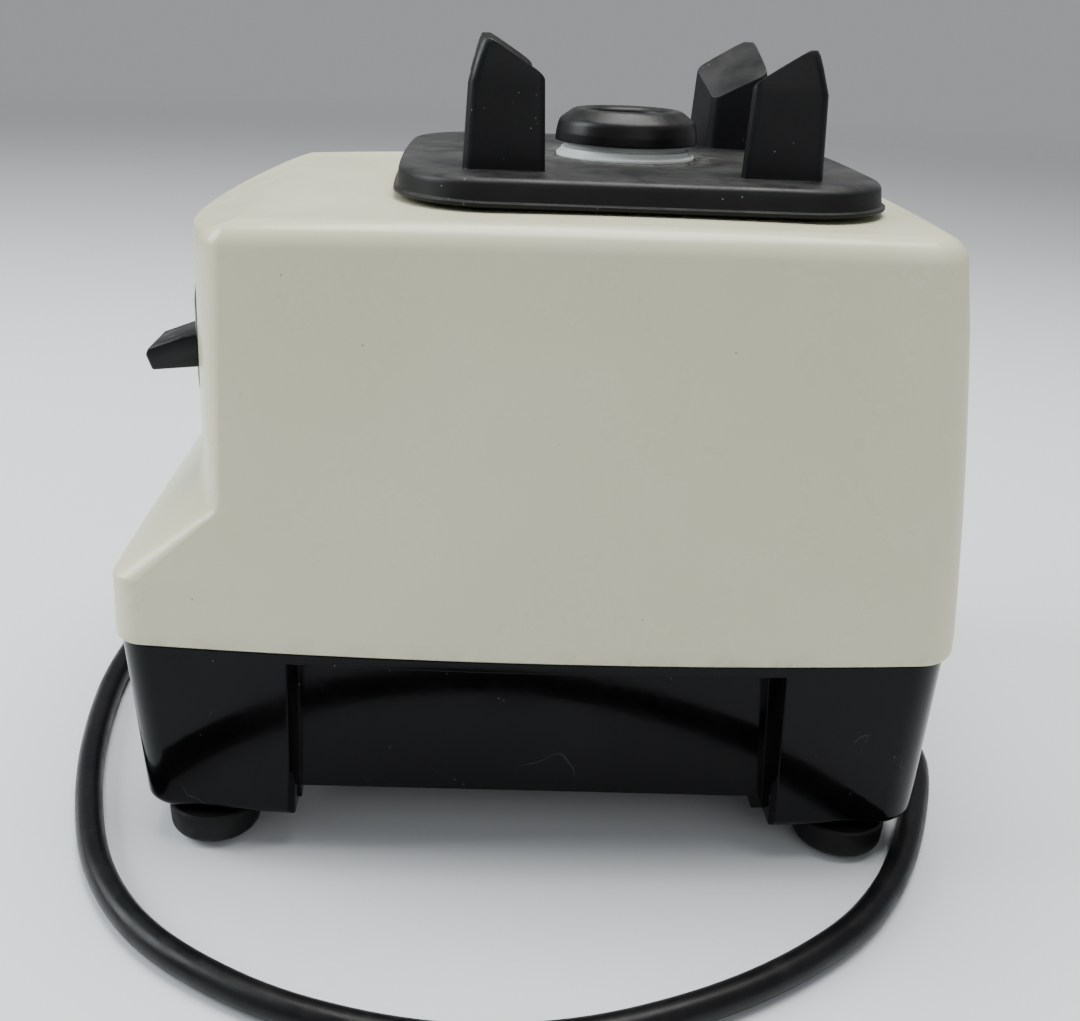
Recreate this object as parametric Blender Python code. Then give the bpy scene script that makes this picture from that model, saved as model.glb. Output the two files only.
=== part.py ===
"""Motor base of a countertop bar blender, without its jar: a cream housing on a black base.

Metres, +Z up. The origin is on the table under the middle of the base. The controls face -Y.
The lengths along Y below start 3.9 mm in front of it, and the last step moves every piece there.
"""

import math

import bmesh
import bpy
from mathutils import Matrix, Vector

GAP = 0.0003  # clearance kept between pieces that touch
ORIGIN_SHIFT = -0.0039  # from the lengths below to the final frame, along Y

# Motor and drive axis, which the nut, the pad's hole and the pegs share.
AXIS_Y = 0.0265

# Housing: outer surface. The half width and the rear are where the corners' arcs start.
HOUSING_BOTTOM = 0.0663
HOUSING_HALF_WIDTH = 0.0870
SIDE_DRAFT = 0.0755
SIDE_BOW = 0.0052
REAR = 0.1189
REAR_DRAFT = 0.0544
REAR_CURVE = 0.466
REAR_DRAFT_START = 0.072
REAR_BOW = 0.0020
CORNER_RADIUS = 0.0120
HOUSING_WALL = 0.0030
# Front of the housing at mid width, as (height, y): toe, sloping ledge, hollow curve, face.
FRONT_PROFILE = [
    (0.0000, -0.1110),
    (0.0841, -0.1110),
    (0.0851, -0.1102),
    (0.1000, -0.0996),
    (0.1030, -0.0978),
    (0.1058, -0.0967),
    (0.1090, -0.0964),
    (0.3000, -0.0964),
]
# The front's bow across its width and the radius of its corners: (height, bow, radius).
FRONT_SHAPE = [(0.0843, 0.0004, 0.0085), (0.1045, 0.0140, 0.0045), (0.1700, 0.0130, 0.0090)]
CROWN_TOP = 0.1799
CROWN_ACROSS = 0.12
CROWN_ALONG = 0.20
TOP_EDGE_RADIUS = 0.0070
BOTTOM_EDGE_RADIUS = 0.0014
BROW_BACK = -0.0735
BROW_BACK_HEIGHT = 0.1778
BROW_SLOPE = 0.349
BOSS_TOP = 0.0900
BOSS_RADIUS = 0.0060

# Base: four corner legs under one rim, with a spigot inside the housing.
BASE_TOP = 0.0660
BASE_HALF_WIDTH = 0.0856
BASE_TAPER = 0.085
BASE_FRONT = -0.1098
BASE_FRONT_TAPER = 0.055
BASE_REAR = 0.1174
LEG_BOTTOM = 0.0110
LEG_EDGE_RADIUS = 0.0030
FLOOR_UNDERSIDE = 0.0150
FLOOR_TOP = 0.0190
RECESS_TOP = 0.0628
SIDE_RECESS_X = 0.0740
SIDE_RECESS_FRONT = -0.0626
SIDE_RECESS_REAR = 0.0685
# Lean of each recess side and width of its chamfer at the top, with the width's growth downwards.
FRONT_RECESS_SIDE = (0.0145, 0.0022, 0.054)
REAR_RECESS_SIDE = (0.0640, 0.0019, 0.004)
END_RECESS_X = 0.0520
FRONT_RECESS_Y = -0.0960
REAR_RECESS_Y = 0.0986
SPIGOT_TOP = 0.0760
SPIGOT_WALL = 0.0030
INTAKE_RADIUS = 0.0440

# Feet and the long screws through them.
FOOT_X = 0.0720
FOOT_YS = {"front": -0.0880, "rear": 0.0950}
FOOT_TOP = LEG_BOTTOM - GAP
SCREW_RADIUS = 0.0021
SCREW_BORE = SCREW_RADIUS + GAP
SCREW_TOP = 0.0875

# Centering pad, its pegs, the nut and the ring under it.
PAD_CENTRE_Y = 0.0267
PAD_HALF_WIDTH = 0.0652
PAD_HALF_DEPTH = 0.0672
PAD_CORNER = 0.0275
PAD_BOW = 0.0026
PAD_BOTTOM = 0.1802
PAD_TOP = 0.1875
PEG_TOP = 0.2198
PEG_FACET_SLOPE = 0.75
PEG_FACET_START = 0.0842
PEG_SPLAY = 0.0046  # how far the section's inner corner lies back from a square's
# Peg section at a height: (height, inner face, outer face), distances from the drive axis.
PEG_SECTIONS = [
    (0.1860, 0.0252, 0.0477),
    (0.2090, 0.0262, 0.0467),
    (0.2156, 0.0265, 0.0450),
    (0.2185, 0.0268, 0.0441),
    (0.2198, 0.0272, 0.0434),
]
PEG_ROUNDING = 0.0030
RING_RADIUS = 0.0204
NECK_RADIUS = 0.0144
NECK_BORE = 0.0113
NECK_TOP = 0.1960

# Motor.
BRACKET_RADIUS = 0.0600
BOLT_OFFSET = 0.0385
BOLT_RADIUS = 0.0022
CORE_BOTTOM = 0.0920
CORE_TOP = 0.1360
CORE_HALF = 0.0480
BRUSH_HEIGHT = 0.0742
BRUSH_SECTION = (0.0064, 0.0084)
HOLDER_SECTION = (0.0120, 0.0120)
FAN_RADIUS = 0.0420
FAN_BLADES = 10

# Control panel and its two paddle switches.
PANEL_HALF = 0.0560
PANEL_BOTTOM = 0.1120
PANEL_TOP = 0.1620
PADDLE_X = 0.0420
PADDLE_WIDTH = 0.0200
PIVOT_Y = -0.0820
PIVOT_Z = 0.1395
PADDLE_REST = math.radians(12)
PIN_RADIUS = 0.0016

# Power cord: 8 mm thick and 1.73 m long in all.
CORD_RADIUS = 0.0040
CORD_LENGTH = 1.730
CORD_HEIGHT = CORD_RADIUS + 0.0002
RELIEF_START = Vector((-0.0310, 0.0820, 0.0076))
RELIEF_LENGTH = 0.0220
RELIEF_HEADING = math.radians(60)
COIL_CENTRE = Vector((-0.1648, -0.0560, 0.0))
COIL_TURNS = 3.5
# Middle line of the cord after its strain relief, round the near side to the coil.
CORD_ROUTE = [
    (-0.0095, 0.1155, 0.0052),
    (-0.0005, 0.1225, 0.0043),
    (0.0120, 0.1278, 0.0042),
    (0.0260, 0.1302, 0.0042),
    (0.0400, 0.1292, 0.0042),
    (0.0580, 0.1232, 0.0042),
    (0.0820, 0.1125, 0.0042),
    (0.1010, 0.1010, 0.0042),
    (0.1180, 0.0860, 0.0042),
    (0.1340, 0.0640, 0.0042),
    (0.1460, 0.0400, 0.0042),
    (0.1545, 0.0130, 0.0042),
    (0.1570, -0.0150, 0.0042),
    (0.1525, -0.0430, 0.0042),
    (0.1420, -0.0700, 0.0042),
    (0.1240, -0.0960, 0.0042),
    (0.1000, -0.1140, 0.0042),
    (0.0700, -0.1258, 0.0042),
    (0.0350, -0.1340, 0.0042),
    (-0.0050, -0.1380, 0.0042),
    (-0.0420, -0.1350, 0.0042),
    (-0.0740, -0.1220, 0.0042),
    (-0.0950, -0.0990, 0.0042),
    (-0.1035, -0.0750, 0.0042),
    (-0.1046, -0.0595, 0.0042),
]
# From the coil's upper turn down to the plug.
TAIL_ROUTE = [
    (-0.2248, -0.0600, 0.0100),
    (-0.2248, -0.0740, 0.0080),
    (-0.2248, -0.0880, 0.0084),
    (-0.2248, -0.0940, 0.0085),
]
PLUG_START = Vector((-0.2248, -0.0943, 0.0085))


def clear_scene():
    for obj in list(bpy.data.objects):
        bpy.data.objects.remove(obj, do_unlink=True)


def make_material(name, colour, roughness, metallic=0.0):
    material = bpy.data.materials.new(name)
    material.use_nodes = True
    shader = material.node_tree.nodes["Principled BSDF"]
    shader.inputs["Base Color"].default_value = (*colour, 1.0)
    shader.inputs["Roughness"].default_value = roughness
    shader.inputs["Metallic"].default_value = metallic
    material.diffuse_color = (*colour, 1.0)
    return material


MATERIAL_VALUES = {
    "cream_plastic": ((0.62, 0.59, 0.47), 0.22, 0.0),
    "black_plastic": ((0.012, 0.012, 0.013), 0.12, 0.0),
    "black_satin_plastic": ((0.020, 0.020, 0.021), 0.38, 0.0),
    "black_rubber": ((0.025, 0.025, 0.025), 0.60, 0.0),
    "white_plastic": ((0.72, 0.76, 0.74), 0.30, 0.0),
    "steel": ((0.56, 0.57, 0.58), 0.28, 1.0),
    "lamination_steel": ((0.30, 0.30, 0.31), 0.45, 1.0),
    "copper": ((0.70, 0.32, 0.16), 0.35, 1.0),
    "cast_aluminium": ((0.62, 0.63, 0.64), 0.42, 1.0),
    "carbon": ((0.030, 0.030, 0.032), 0.55, 0.0),
    "brass": ((0.75, 0.58, 0.28), 0.30, 1.0),
    "cord_rubber": ((0.022, 0.022, 0.023), 0.45, 0.0),
}


def add_object(name, mesh, material):
    obj = bpy.data.objects.new(name, mesh)
    bpy.context.scene.collection.objects.link(obj)
    if material is not None:
        mesh.materials.append(MATERIALS[material])
    return obj


def finish_mesh(name, bm, smooth=False):
    bmesh.ops.recalc_face_normals(bm, faces=bm.faces[:])
    mesh = bpy.data.meshes.new(name)
    bm.to_mesh(mesh)
    bm.free()
    if smooth:
        mesh.shade_smooth()
        mesh.set_sharp_from_angle(angle=math.radians(35))
    return mesh


def hide_cutter(obj):
    obj.hide_render = True
    obj.display_type = "WIRE"
    return obj


def combine(target, other, operation):
    modifier = target.modifiers.new(operation.title() + " " + other.name, "BOOLEAN")
    modifier.operation = operation
    modifier.object = hide_cutter(other)
    modifier.solver = "EXACT"


def cut(target, *cutters):
    for cutter in cutters:
        combine(target, cutter, "DIFFERENCE")


def join(target, *others):
    for other in others:
        combine(target, other, "UNION")


def turned(name, profile, material, segments=32, centre=(0.0, AXIS_Y), matrix=None):
    """A solid of revolution about a vertical line, from (radius, height) points."""
    bm = bmesh.new()
    rows = []
    for radius, height in profile:
        if radius == 0.0:
            rows.append([bm.verts.new((0.0, 0.0, height))])
            continue
        angles = [2 * math.pi * (step + 0.5) / segments for step in range(segments)]
        rows.append([bm.verts.new((radius * math.cos(a), radius * math.sin(a), height)) for a in angles])
    is_solid = profile[0][0] == 0.0
    pairs = list(zip(rows, rows[1:])) if is_solid else list(zip(rows, rows[1:] + rows[:1]))
    for lower, upper in pairs:
        bridge_rows(bm, lower, upper, segments)
    bmesh.ops.transform(bm, matrix=matrix or Matrix.Translation((*centre, 0.0)), verts=bm.verts[:])
    return add_object(name, finish_mesh(name, bm, smooth=True), material)


def bridge_rows(bm, lower, upper, segments):
    for step in range(segments):
        after = (step + 1) % segments
        if len(lower) == 1:
            bm.faces.new((lower[0], upper[after], upper[step]))
        elif len(upper) == 1:
            bm.faces.new((lower[step], lower[after], upper[0]))
        else:
            bm.faces.new((lower[step], lower[after], upper[after], upper[step]))


def loft(name, rings, material, smooth=False):
    """A closed solid through rings of as many points each. A single point as the last ring is a peak."""
    bm = bmesh.new()
    rows = [[bm.verts.new(point) for point in ring] for ring in rings]
    for lower, upper in zip(rows, rows[1:]):
        bridge_rows(bm, lower, upper, len(lower))
    bm.faces.new(rows[0])
    if len(rows[-1]) > 1:
        bm.faces.new(rows[-1])
    return add_object(name, finish_mesh(name, bm, smooth), material)


def prism(name, outline, low, high, material=None, axis="Z"):
    """An outline of (u, v) points pushed from low to high along an axis."""
    place = {
        "X": lambda u, v, w: (w, u, v),
        "Y": lambda u, v, w: (u, w, v),
        "Z": lambda u, v, w: (u, v, w),
    }[axis]
    return loft(name, [[place(u, v, w) for u, v in outline] for w in (low, high)], material)


def ring_prism(name, outline, hole, low, high, material):
    """A flat ring between an outline and a hole that have the same number of points."""
    bm = bmesh.new()
    rows = [
        [bm.verts.new((x, y, z)) for x, y in points]
        for points, z in ((outline, low), (outline, high), (hole, high), (hole, low))
    ]
    for lower, upper in zip(rows, rows[1:] + rows[:1]):
        bridge_rows(bm, lower, upper, len(lower))
    return add_object(name, finish_mesh(name, bm), material)


def block(name, low, high, material=None, rounding=0.0):
    bm = bmesh.new()
    bmesh.ops.create_cube(bm, size=1.0)
    size = Vector(high) - Vector(low)
    bmesh.ops.scale(bm, vec=size, verts=bm.verts[:])
    bmesh.ops.translate(bm, vec=(Vector(low) + Vector(high)) / 2, verts=bm.verts[:])
    if rounding:
        bmesh.ops.bevel(bm, geom=bm.edges[:], offset=rounding, segments=2, affect="EDGES", profile=0.5)
    return add_object(name, finish_mesh(name, bm), material)


def rod(name, start, end, radius, material=None, segments=20):
    """A plain round bar between two points."""
    start, end = Vector(start), Vector(end)
    turn = (end - start).to_track_quat("Z", "Y").to_matrix().to_4x4()
    profile = [(0.0, 0.0), (radius, 0.0), (radius, (end - start).length), (0.0, (end - start).length)]
    return turned(name, profile, material, segments, matrix=Matrix.Translation(start) @ turn)


def rounded_rectangle(half_width, front, rear, radius, front_radius=None, side_steps=4, corner_steps=4):
    """Points of a rounded rectangle, anticlockwise from the start of its right side."""
    other = front_radius or radius
    corners = [
        (half_width - radius, rear - radius, radius, 0),
        (radius - half_width, rear - radius, radius, 90),
        (other - half_width, front + other, other, 180),
        (half_width - other, front + other, other, 270),
    ]
    points = []
    for index, (x, y, reach, start) in enumerate(corners):
        for step in range(corner_steps + 1):
            angle = math.radians(start + 90 * step / corner_steps)
            points.append((x + reach * math.cos(angle), y + reach * math.sin(angle)))
        after_x, after_y, after_reach, after_start = corners[(index + 1) % 4]
        angle = math.radians(after_start)
        target = (after_x + after_reach * math.cos(angle), after_y + after_reach * math.sin(angle))
        last = points[-1]
        for step in range(1, side_steps):
            share = step / side_steps
            points.append((last[0] + (target[0] - last[0]) * share, last[1] + (target[1] - last[1]) * share))
    return points


def bowed(points, half_width, front, rear, side_bow, front_bow, rear_bow):
    """Swells a rectangle's sides outwards. The front and rear are given at mid width."""
    middle = (front + rear) / 2
    half_depth = (rear - front) / 2
    result = []
    for x, y in points:
        along = (y - middle) / half_depth
        across = x / half_width
        x_out = x + math.copysign(side_bow * (1 - along**2) * abs(across) ** 4, x)
        bow = front_bow if along < 0 else rear_bow
        y_out = y - math.copysign(bow * across**2 * along**4, y - middle)
        result.append((x_out, y_out))
    return result


def interpolate(table, value):
    for (low, start), (high, end) in zip(table, table[1:]):
        if value <= high:
            return start + (end - start) * (value - low) / (high - low)
    return table[-1][1]


def front_shape(height):
    """(bow, corner radius) of the housing's front at a height."""
    at = min(max(height, FRONT_SHAPE[0][0]), FRONT_SHAPE[-1][0])
    bow = interpolate([(level, bow) for level, bow, _ in FRONT_SHAPE], at)
    return bow, interpolate([(level, radius) for level, _, radius in FRONT_SHAPE], at)


def housing_outline(height, inset):
    """The housing's plan at a height, moved inwards by an inset."""
    half_width = HOUSING_HALF_WIDTH - (height - HOUSING_BOTTOM) * SIDE_DRAFT - inset
    rise = max(0.0, height - REAR_DRAFT_START)
    rear = REAR - REAR_DRAFT * rise - REAR_CURVE * rise**2 - inset
    front = interpolate(FRONT_PROFILE, height) + inset
    front_bow, front_radius = front_shape(height)
    radii = [max(radius - inset, 0.004) for radius in (CORNER_RADIUS, front_radius)]
    points = rounded_rectangle(half_width, front, rear, *radii)
    return bowed(points, half_width, front, rear, SIDE_BOW, front_bow, REAR_BOW)


def crown(x, y, drop):
    return CROWN_TOP - drop - CROWN_ACROSS * x**2 - CROWN_ALONG * (y - AXIS_Y) ** 2


def housing_solid(name, inset, drop, material=None):
    """The housing as a full block: walls by height, a rounded top edge and a crowned top."""
    rings = []
    if inset == 0.0:
        for angle in (0, 45):
            rounding = BOTTOM_EDGE_RADIUS * (1 - math.sin(math.radians(angle)))
            height = HOUSING_BOTTOM + BOTTOM_EDGE_RADIUS * (1 - math.cos(math.radians(angle)))
            rings.append([(x, y, height) for x, y in housing_outline(height, rounding)])
        start = HOUSING_BOTTOM + BOTTOM_EDGE_RADIUS
    else:
        start = HOUSING_BOTTOM - 0.010
    shoulder = CROWN_TOP - drop - TOP_EDGE_RADIUS
    heights = [start, REAR_DRAFT_START] + [height for height, _ in FRONT_PROFILE[1:-1]] + [0.140]
    rings += [[(x, y, height) for x, y in housing_outline(height, inset)] for height in heights]
    for angle in (0, 22.5, 45, 67.5, 90):
        rounding = TOP_EDGE_RADIUS * (1 - math.cos(math.radians(angle)))
        fall = TOP_EDGE_RADIUS * (1 - math.sin(math.radians(angle)))
        outline = housing_outline(shoulder, inset + rounding)
        rings.append([(x, y, crown(x, y, drop) - fall) for x, y in outline])
    for share in (0.7, 0.4):
        shrunk = [(x * share, AXIS_Y + (y - AXIS_Y) * share) for x, y in outline]
        rings.append([(x, y, crown(x, y, drop)) for x, y in shrunk])
    rings.append([(0.0, AXIS_Y, crown(0.0, AXIS_Y, drop))])
    return loft(name, rings, material, smooth=True)


def brow_cutter(name, drop):
    """Everything above the sloping brow along the housing's top front edge."""
    near, far = -0.150, -0.060
    line = [(y, BROW_BACK_HEIGHT - drop + (y - BROW_BACK) * BROW_SLOPE) for y in (near, far)]
    return prism(name, line + [(far, 0.200), (near, 0.200)], -0.120, 0.120, axis="X")


def make_housing():
    shell = housing_solid("housing_shell", 0.0, 0.0, "cream_plastic")
    inside = housing_solid("housing_inside", HOUSING_WALL, HOUSING_WALL)
    cut(inside, brow_cutter("brow_inside", HOUSING_WALL * 1.06))
    cut(shell, brow_cutter("brow_outside", 0.0), inside)
    axis = (0.0, AXIS_Y)
    neck = rod("neck_hole", (*axis, 0.165), (*axis, 0.190), NECK_RADIUS + GAP, segments=32)
    opening = block("panel_opening", (-PANEL_HALF, -0.115, PANEL_BOTTOM), (PANEL_HALF, -0.083, PANEL_TOP))
    cut(shell, neck, opening)
    for end, y in FOOT_YS.items():
        for side, x in (("near", FOOT_X), ("far", -FOOT_X)):
            outer = math.copysign(0.0860, x)
            bottom = BASE_TOP + 3 * GAP
            bore_top = SCREW_TOP + 2 * GAP
            section = [(0.0, bore_top), (SCREW_BORE, bore_top), (SCREW_BORE, bottom)]
            section += [(BOSS_RADIUS, bottom), (BOSS_RADIUS, BOSS_TOP), (0.0, BOSS_TOP)]
            boss = turned(f"boss_{end}_{side}", section, None, 16, centre=(x, y))
            offset = math.copysign(BOSS_RADIUS - 0.001, x)
            low = (min(x + offset, outer), y - 0.0015, SPIGOT_TOP + 0.001)
            rib = block(f"boss_rib_{end}_{side}", low, (max(x + offset, outer), y + 0.0015, BOSS_TOP - 0.001))
            join(shell, boss, rib)
    return shell


def base_outline(height, inset):
    taper = (BASE_TOP - height) * BASE_TAPER
    half_width = BASE_HALF_WIDTH - taper - inset
    front = BASE_FRONT + (BASE_TOP - height) * BASE_FRONT_TAPER + inset
    rear = BASE_REAR - inset
    toe_bow, toe_radius = front_shape(height)
    points = rounded_rectangle(half_width, front, rear, CORNER_RADIUS, toe_radius)
    return bowed(points, half_width, front, rear, SIDE_BOW, toe_bow, REAR_BOW)


def base_block():
    """The base before it is hollowed: tapered walls, a step at the rim and the spigot."""
    rings = []
    for angle in (0, 45, 90):
        rounding = LEG_EDGE_RADIUS * (1 - math.sin(math.radians(angle)))
        height = LEG_BOTTOM + LEG_EDGE_RADIUS * (1 - math.cos(math.radians(angle)))
        rings.append([(x, y, height) for x, y in base_outline(height, rounding)])
    rings.append([(x, y, BASE_TOP) for x, y in base_outline(BASE_TOP, 0.0)])
    spigot = housing_outline(SPIGOT_TOP, HOUSING_WALL + GAP)
    rings += [[(x, y, height) for x, y in spigot] for height in (BASE_TOP, SPIGOT_TOP)]
    return loft("base_shell", rings, "black_plastic", smooth=True)


def side_recess(name, sign):
    """The hollow between two legs of one side, with a narrow chamfer down each leg's edge."""
    rings = []
    for height in (-0.005, RECESS_TOP):
        depth = RECESS_TOP - height
        face = BASE_HALF_WIDTH + SIDE_BOW - (BASE_TOP - height) * BASE_TAPER
        lean, width, growth = FRONT_RECESS_SIDE
        front = SIDE_RECESS_FRONT - lean * depth
        front_edge = front - width - growth * depth
        lean, width, growth = REAR_RECESS_SIDE
        rear = SIDE_RECESS_REAR + lean * depth
        rear_edge = rear + width + growth * depth
        plan = [(SIDE_RECESS_X, front), (face - 0.0045, front), (face + 0.0005, front_edge)]
        plan += [(0.120, front_edge), (0.120, rear_edge)]
        plan += [(face + 0.0005, rear_edge), (face - 0.0045, rear), (SIDE_RECESS_X, rear)]
        rings.append([(sign * x, y, height) for x, y in plan])
    return loft(name, rings, None)


def recess_cutters():
    """Hollows between the legs on each side, which run out through the underside."""
    low, high = -0.005, RECESS_TOP
    wide = END_RECESS_X + 0.0008
    across_end = (0.078, SIDE_RECESS_REAR, FLOOR_UNDERSIDE)
    end = [(-wide, low), (wide, low), (END_RECESS_X, high), (-END_RECESS_X, high)]
    return [
        side_recess("recess_near", 1),
        side_recess("recess_far", -1),
        prism("recess_front", end, -0.150, FRONT_RECESS_Y, axis="Y"),
        prism("recess_rear", end, REAR_RECESS_Y, 0.150, axis="Y"),
        block("underside_along", (-END_RECESS_X, -0.100, 0.0), (END_RECESS_X, 0.102, FLOOR_UNDERSIDE)),
        block("underside_across", (-0.078, SIDE_RECESS_FRONT, 0.0), across_end),
    ]


def base_cavity_cutters():
    """The room for the motor, between the recess walls and the solid corner legs."""
    wide = 0.0705
    narrow = 0.0480
    rim = housing_outline(SPIGOT_TOP, HOUSING_WALL + GAP + SPIGOT_WALL)
    axis = (0.0, AXIS_Y)
    return [
        block("cavity_across", (-wide, -0.058, FLOOR_TOP), (wide, 0.064, 0.0662)),
        block("cavity_along", (-narrow, -0.0925, FLOOR_TOP), (narrow, 0.0950, 0.0664)),
        prism("cavity_rim", rim, BASE_TOP, 0.090),
        rod("intake_hole", (*axis, 0.005), (*axis, 0.030), INTAKE_RADIUS, segments=40),
    ]


def make_base():
    base = base_block()
    cut(base, *recess_cutters(), *base_cavity_cutters())
    for end, y in FOOT_YS.items():
        for side, x in (("near", FOOT_X), ("far", -FOOT_X)):
            cut(base, rod(f"leg_bore_{end}_{side}", (x, y, 0.0), (x, y, 0.090), SCREW_BORE, segments=12))
    return base


def make_bottom_cover():
    """A vented plate under the fan, with the hood that holds the cord's strain relief."""
    top = FLOOR_UNDERSIDE - GAP
    outline = rounded_rectangle(0.050, -0.050, 0.0783, 0.012, side_steps=1, corner_steps=3)
    cover = prism("bottom_cover", outline, top - 0.0026, top, "black_satin_plastic")
    bm = bmesh.new()
    for index in range(12):
        made = bmesh.ops.create_cube(bm, size=1.0)["verts"]
        bmesh.ops.scale(bm, vec=(0.022, 0.0052, 0.012), verts=made)
        bmesh.ops.translate(bm, vec=(0.029, 0.0, top), verts=made)
        turn = Matrix.Rotation(2 * math.pi * index / 12, 3, "Z")
        bmesh.ops.rotate(bm, cent=(0, 0, 0), matrix=turn, verts=made)
        bmesh.ops.translate(bm, vec=(0.0, AXIS_Y - 0.004, 0.0), verts=made)
    slots = add_object("vent_slots", finish_mesh("vent_slots", bm), None)
    heading = Matrix.Rotation(RELIEF_HEADING, 4, "Z")
    hood = block("cord_hood", (-0.018, -0.009, -0.0062), (-0.0004, 0.009, 0.0062))
    place = Matrix.Translation(RELIEF_START) @ heading
    hood.data.transform(place)
    bore = rod("cord_hood_bore", (-0.0122, 0, 0), (0.003, 0, 0), 0.0050)
    bore.data.transform(place)
    join(cover, hood)
    cut(cover, slots, bore)
    return cover


def make_feet():
    profile = [
        (0.0046, 0.0),
        (0.0075, 0.0),
        (0.0105, 0.0011),
        (0.0123, 0.0038),
        (0.0130, 0.0075),
        (0.0130, FOOT_TOP),
        (SCREW_BORE, FOOT_TOP),
        (SCREW_BORE, 0.0050),
        (0.0046, 0.0050),
    ]
    screw = [
        (0.0, 0.0020),
        (0.0032, 0.0020),
        (0.0042, 0.0030),
        (0.0042, 0.0047),
        (SCREW_RADIUS, 0.0047),
        (SCREW_RADIUS, SCREW_TOP - 0.002),
        (0.0, SCREW_TOP),
    ]
    for end, y in FOOT_YS.items():
        for side, x in (("near", FOOT_X), ("far", -FOOT_X)):
            turned(f"foot_{end}_{side}", profile, "black_rubber", 24, centre=(x, y))
            turned(f"foot_screw_{end}_{side}", screw, "steel", 12, centre=(x, y))


def splayed(section, half):
    """A square section with its inner corner moved outwards, so that its two inner faces splay."""
    result = []
    for u, v in section:
        move = PEG_SPLAY * (half - u) * (half - v) / (4 * half**2)
        result.append((u + move, v + move))
    return result


def peg(name, x_sign, y_sign):
    """One post of the pad: a leaning square section, cut by a facet that faces the axis."""
    rings = []
    for height, inner, outer in PEG_SECTIONS:
        middle, half = (inner + outer) / 2, (outer - inner) / 2
        section = rounded_rectangle(half, -half, half, PEG_ROUNDING, side_steps=1, corner_steps=3)
        section = [(middle + u, middle + v) for u, v in splayed(section, half)]
        rings.append([(x_sign * u, AXIS_Y + y_sign * v, height) for u, v in section])
    post = loft(name, rings, None)
    run = 0.040
    fall = run * math.sqrt(2) * PEG_FACET_SLOPE
    start = PEG_FACET_START / math.sqrt(2)
    facet = prism(
        name + "_facet",
        [(start, PEG_TOP), (start, 0.240), (start - run, 0.240), (start - run, PEG_TOP - fall)],
        -0.040,
        0.040,
        axis="Y",
    )
    angle = math.atan2(y_sign, x_sign)
    facet.data.transform(Matrix.Translation((0.0, AXIS_Y, 0.0)) @ Matrix.Rotation(angle, 4, "Z"))
    cut(post, facet)
    return post


def make_pad():
    rings = []
    for height, inset in (
        (PAD_BOTTOM, 0.0),
        (PAD_BOTTOM + 0.0012, 0.0),
        (PAD_BOTTOM + 0.0016, 0.0008),
        (PAD_TOP - 0.0022, 0.0012),
        (PAD_TOP - 0.0007, 0.0018),
        (PAD_TOP, 0.0036),
    ):
        half, depth = PAD_HALF_WIDTH - inset, PAD_HALF_DEPTH - inset
        front, rear = PAD_CENTRE_Y - depth, PAD_CENTRE_Y + depth
        outline = rounded_rectangle(half, front, rear, PAD_CORNER, side_steps=3, corner_steps=6)
        outline = bowed(outline, half, front, rear, 0.0, PAD_BOW, PAD_BOW)
        rings.append([(x, y, height) for x, y in outline])
    pad = loft("centering_pad", rings, "black_rubber", smooth=True)
    for x_sign in (1, -1):
        for y_sign in (1, -1):
            join(pad, peg(f"peg_{x_sign}_{y_sign}".replace("-", "m"), x_sign, y_sign))
    axis = (0.0, AXIS_Y)
    cut(pad, rod("pad_hole", (*axis, 0.170), (*axis, 0.200), RING_RADIUS + GAP, segments=40))
    return pad


def make_nut_and_ring():
    bore = NECK_RADIUS + GAP
    ring_top = 0.1912
    ring = [
        (bore, PAD_BOTTOM),
        (RING_RADIUS, PAD_BOTTOM),
        (RING_RADIUS, 0.1885),
        (0.0188, 0.1898),
        (0.0178, ring_top),
        (bore, ring_top),
    ]
    turned("spacer_ring", ring, "white_plastic", 40)
    bottom = ring_top + GAP
    nut = [
        (bore, bottom),
        (0.0206, bottom),
        (0.0209, bottom + 0.0006),
        (0.0207, 0.1935),
        (0.0203, 0.1962),
        (0.0190, 0.1990),
        (0.0168, 0.2008),
        (0.0142, 0.2013),
        (0.0124, 0.2007),
        (0.0113, 0.1992),
        (0.0108, NECK_TOP + 2 * GAP),
        (bore, NECK_TOP + 2 * GAP),
    ]
    turned("retaining_nut", nut, "black_satin_plastic", 40)


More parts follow.
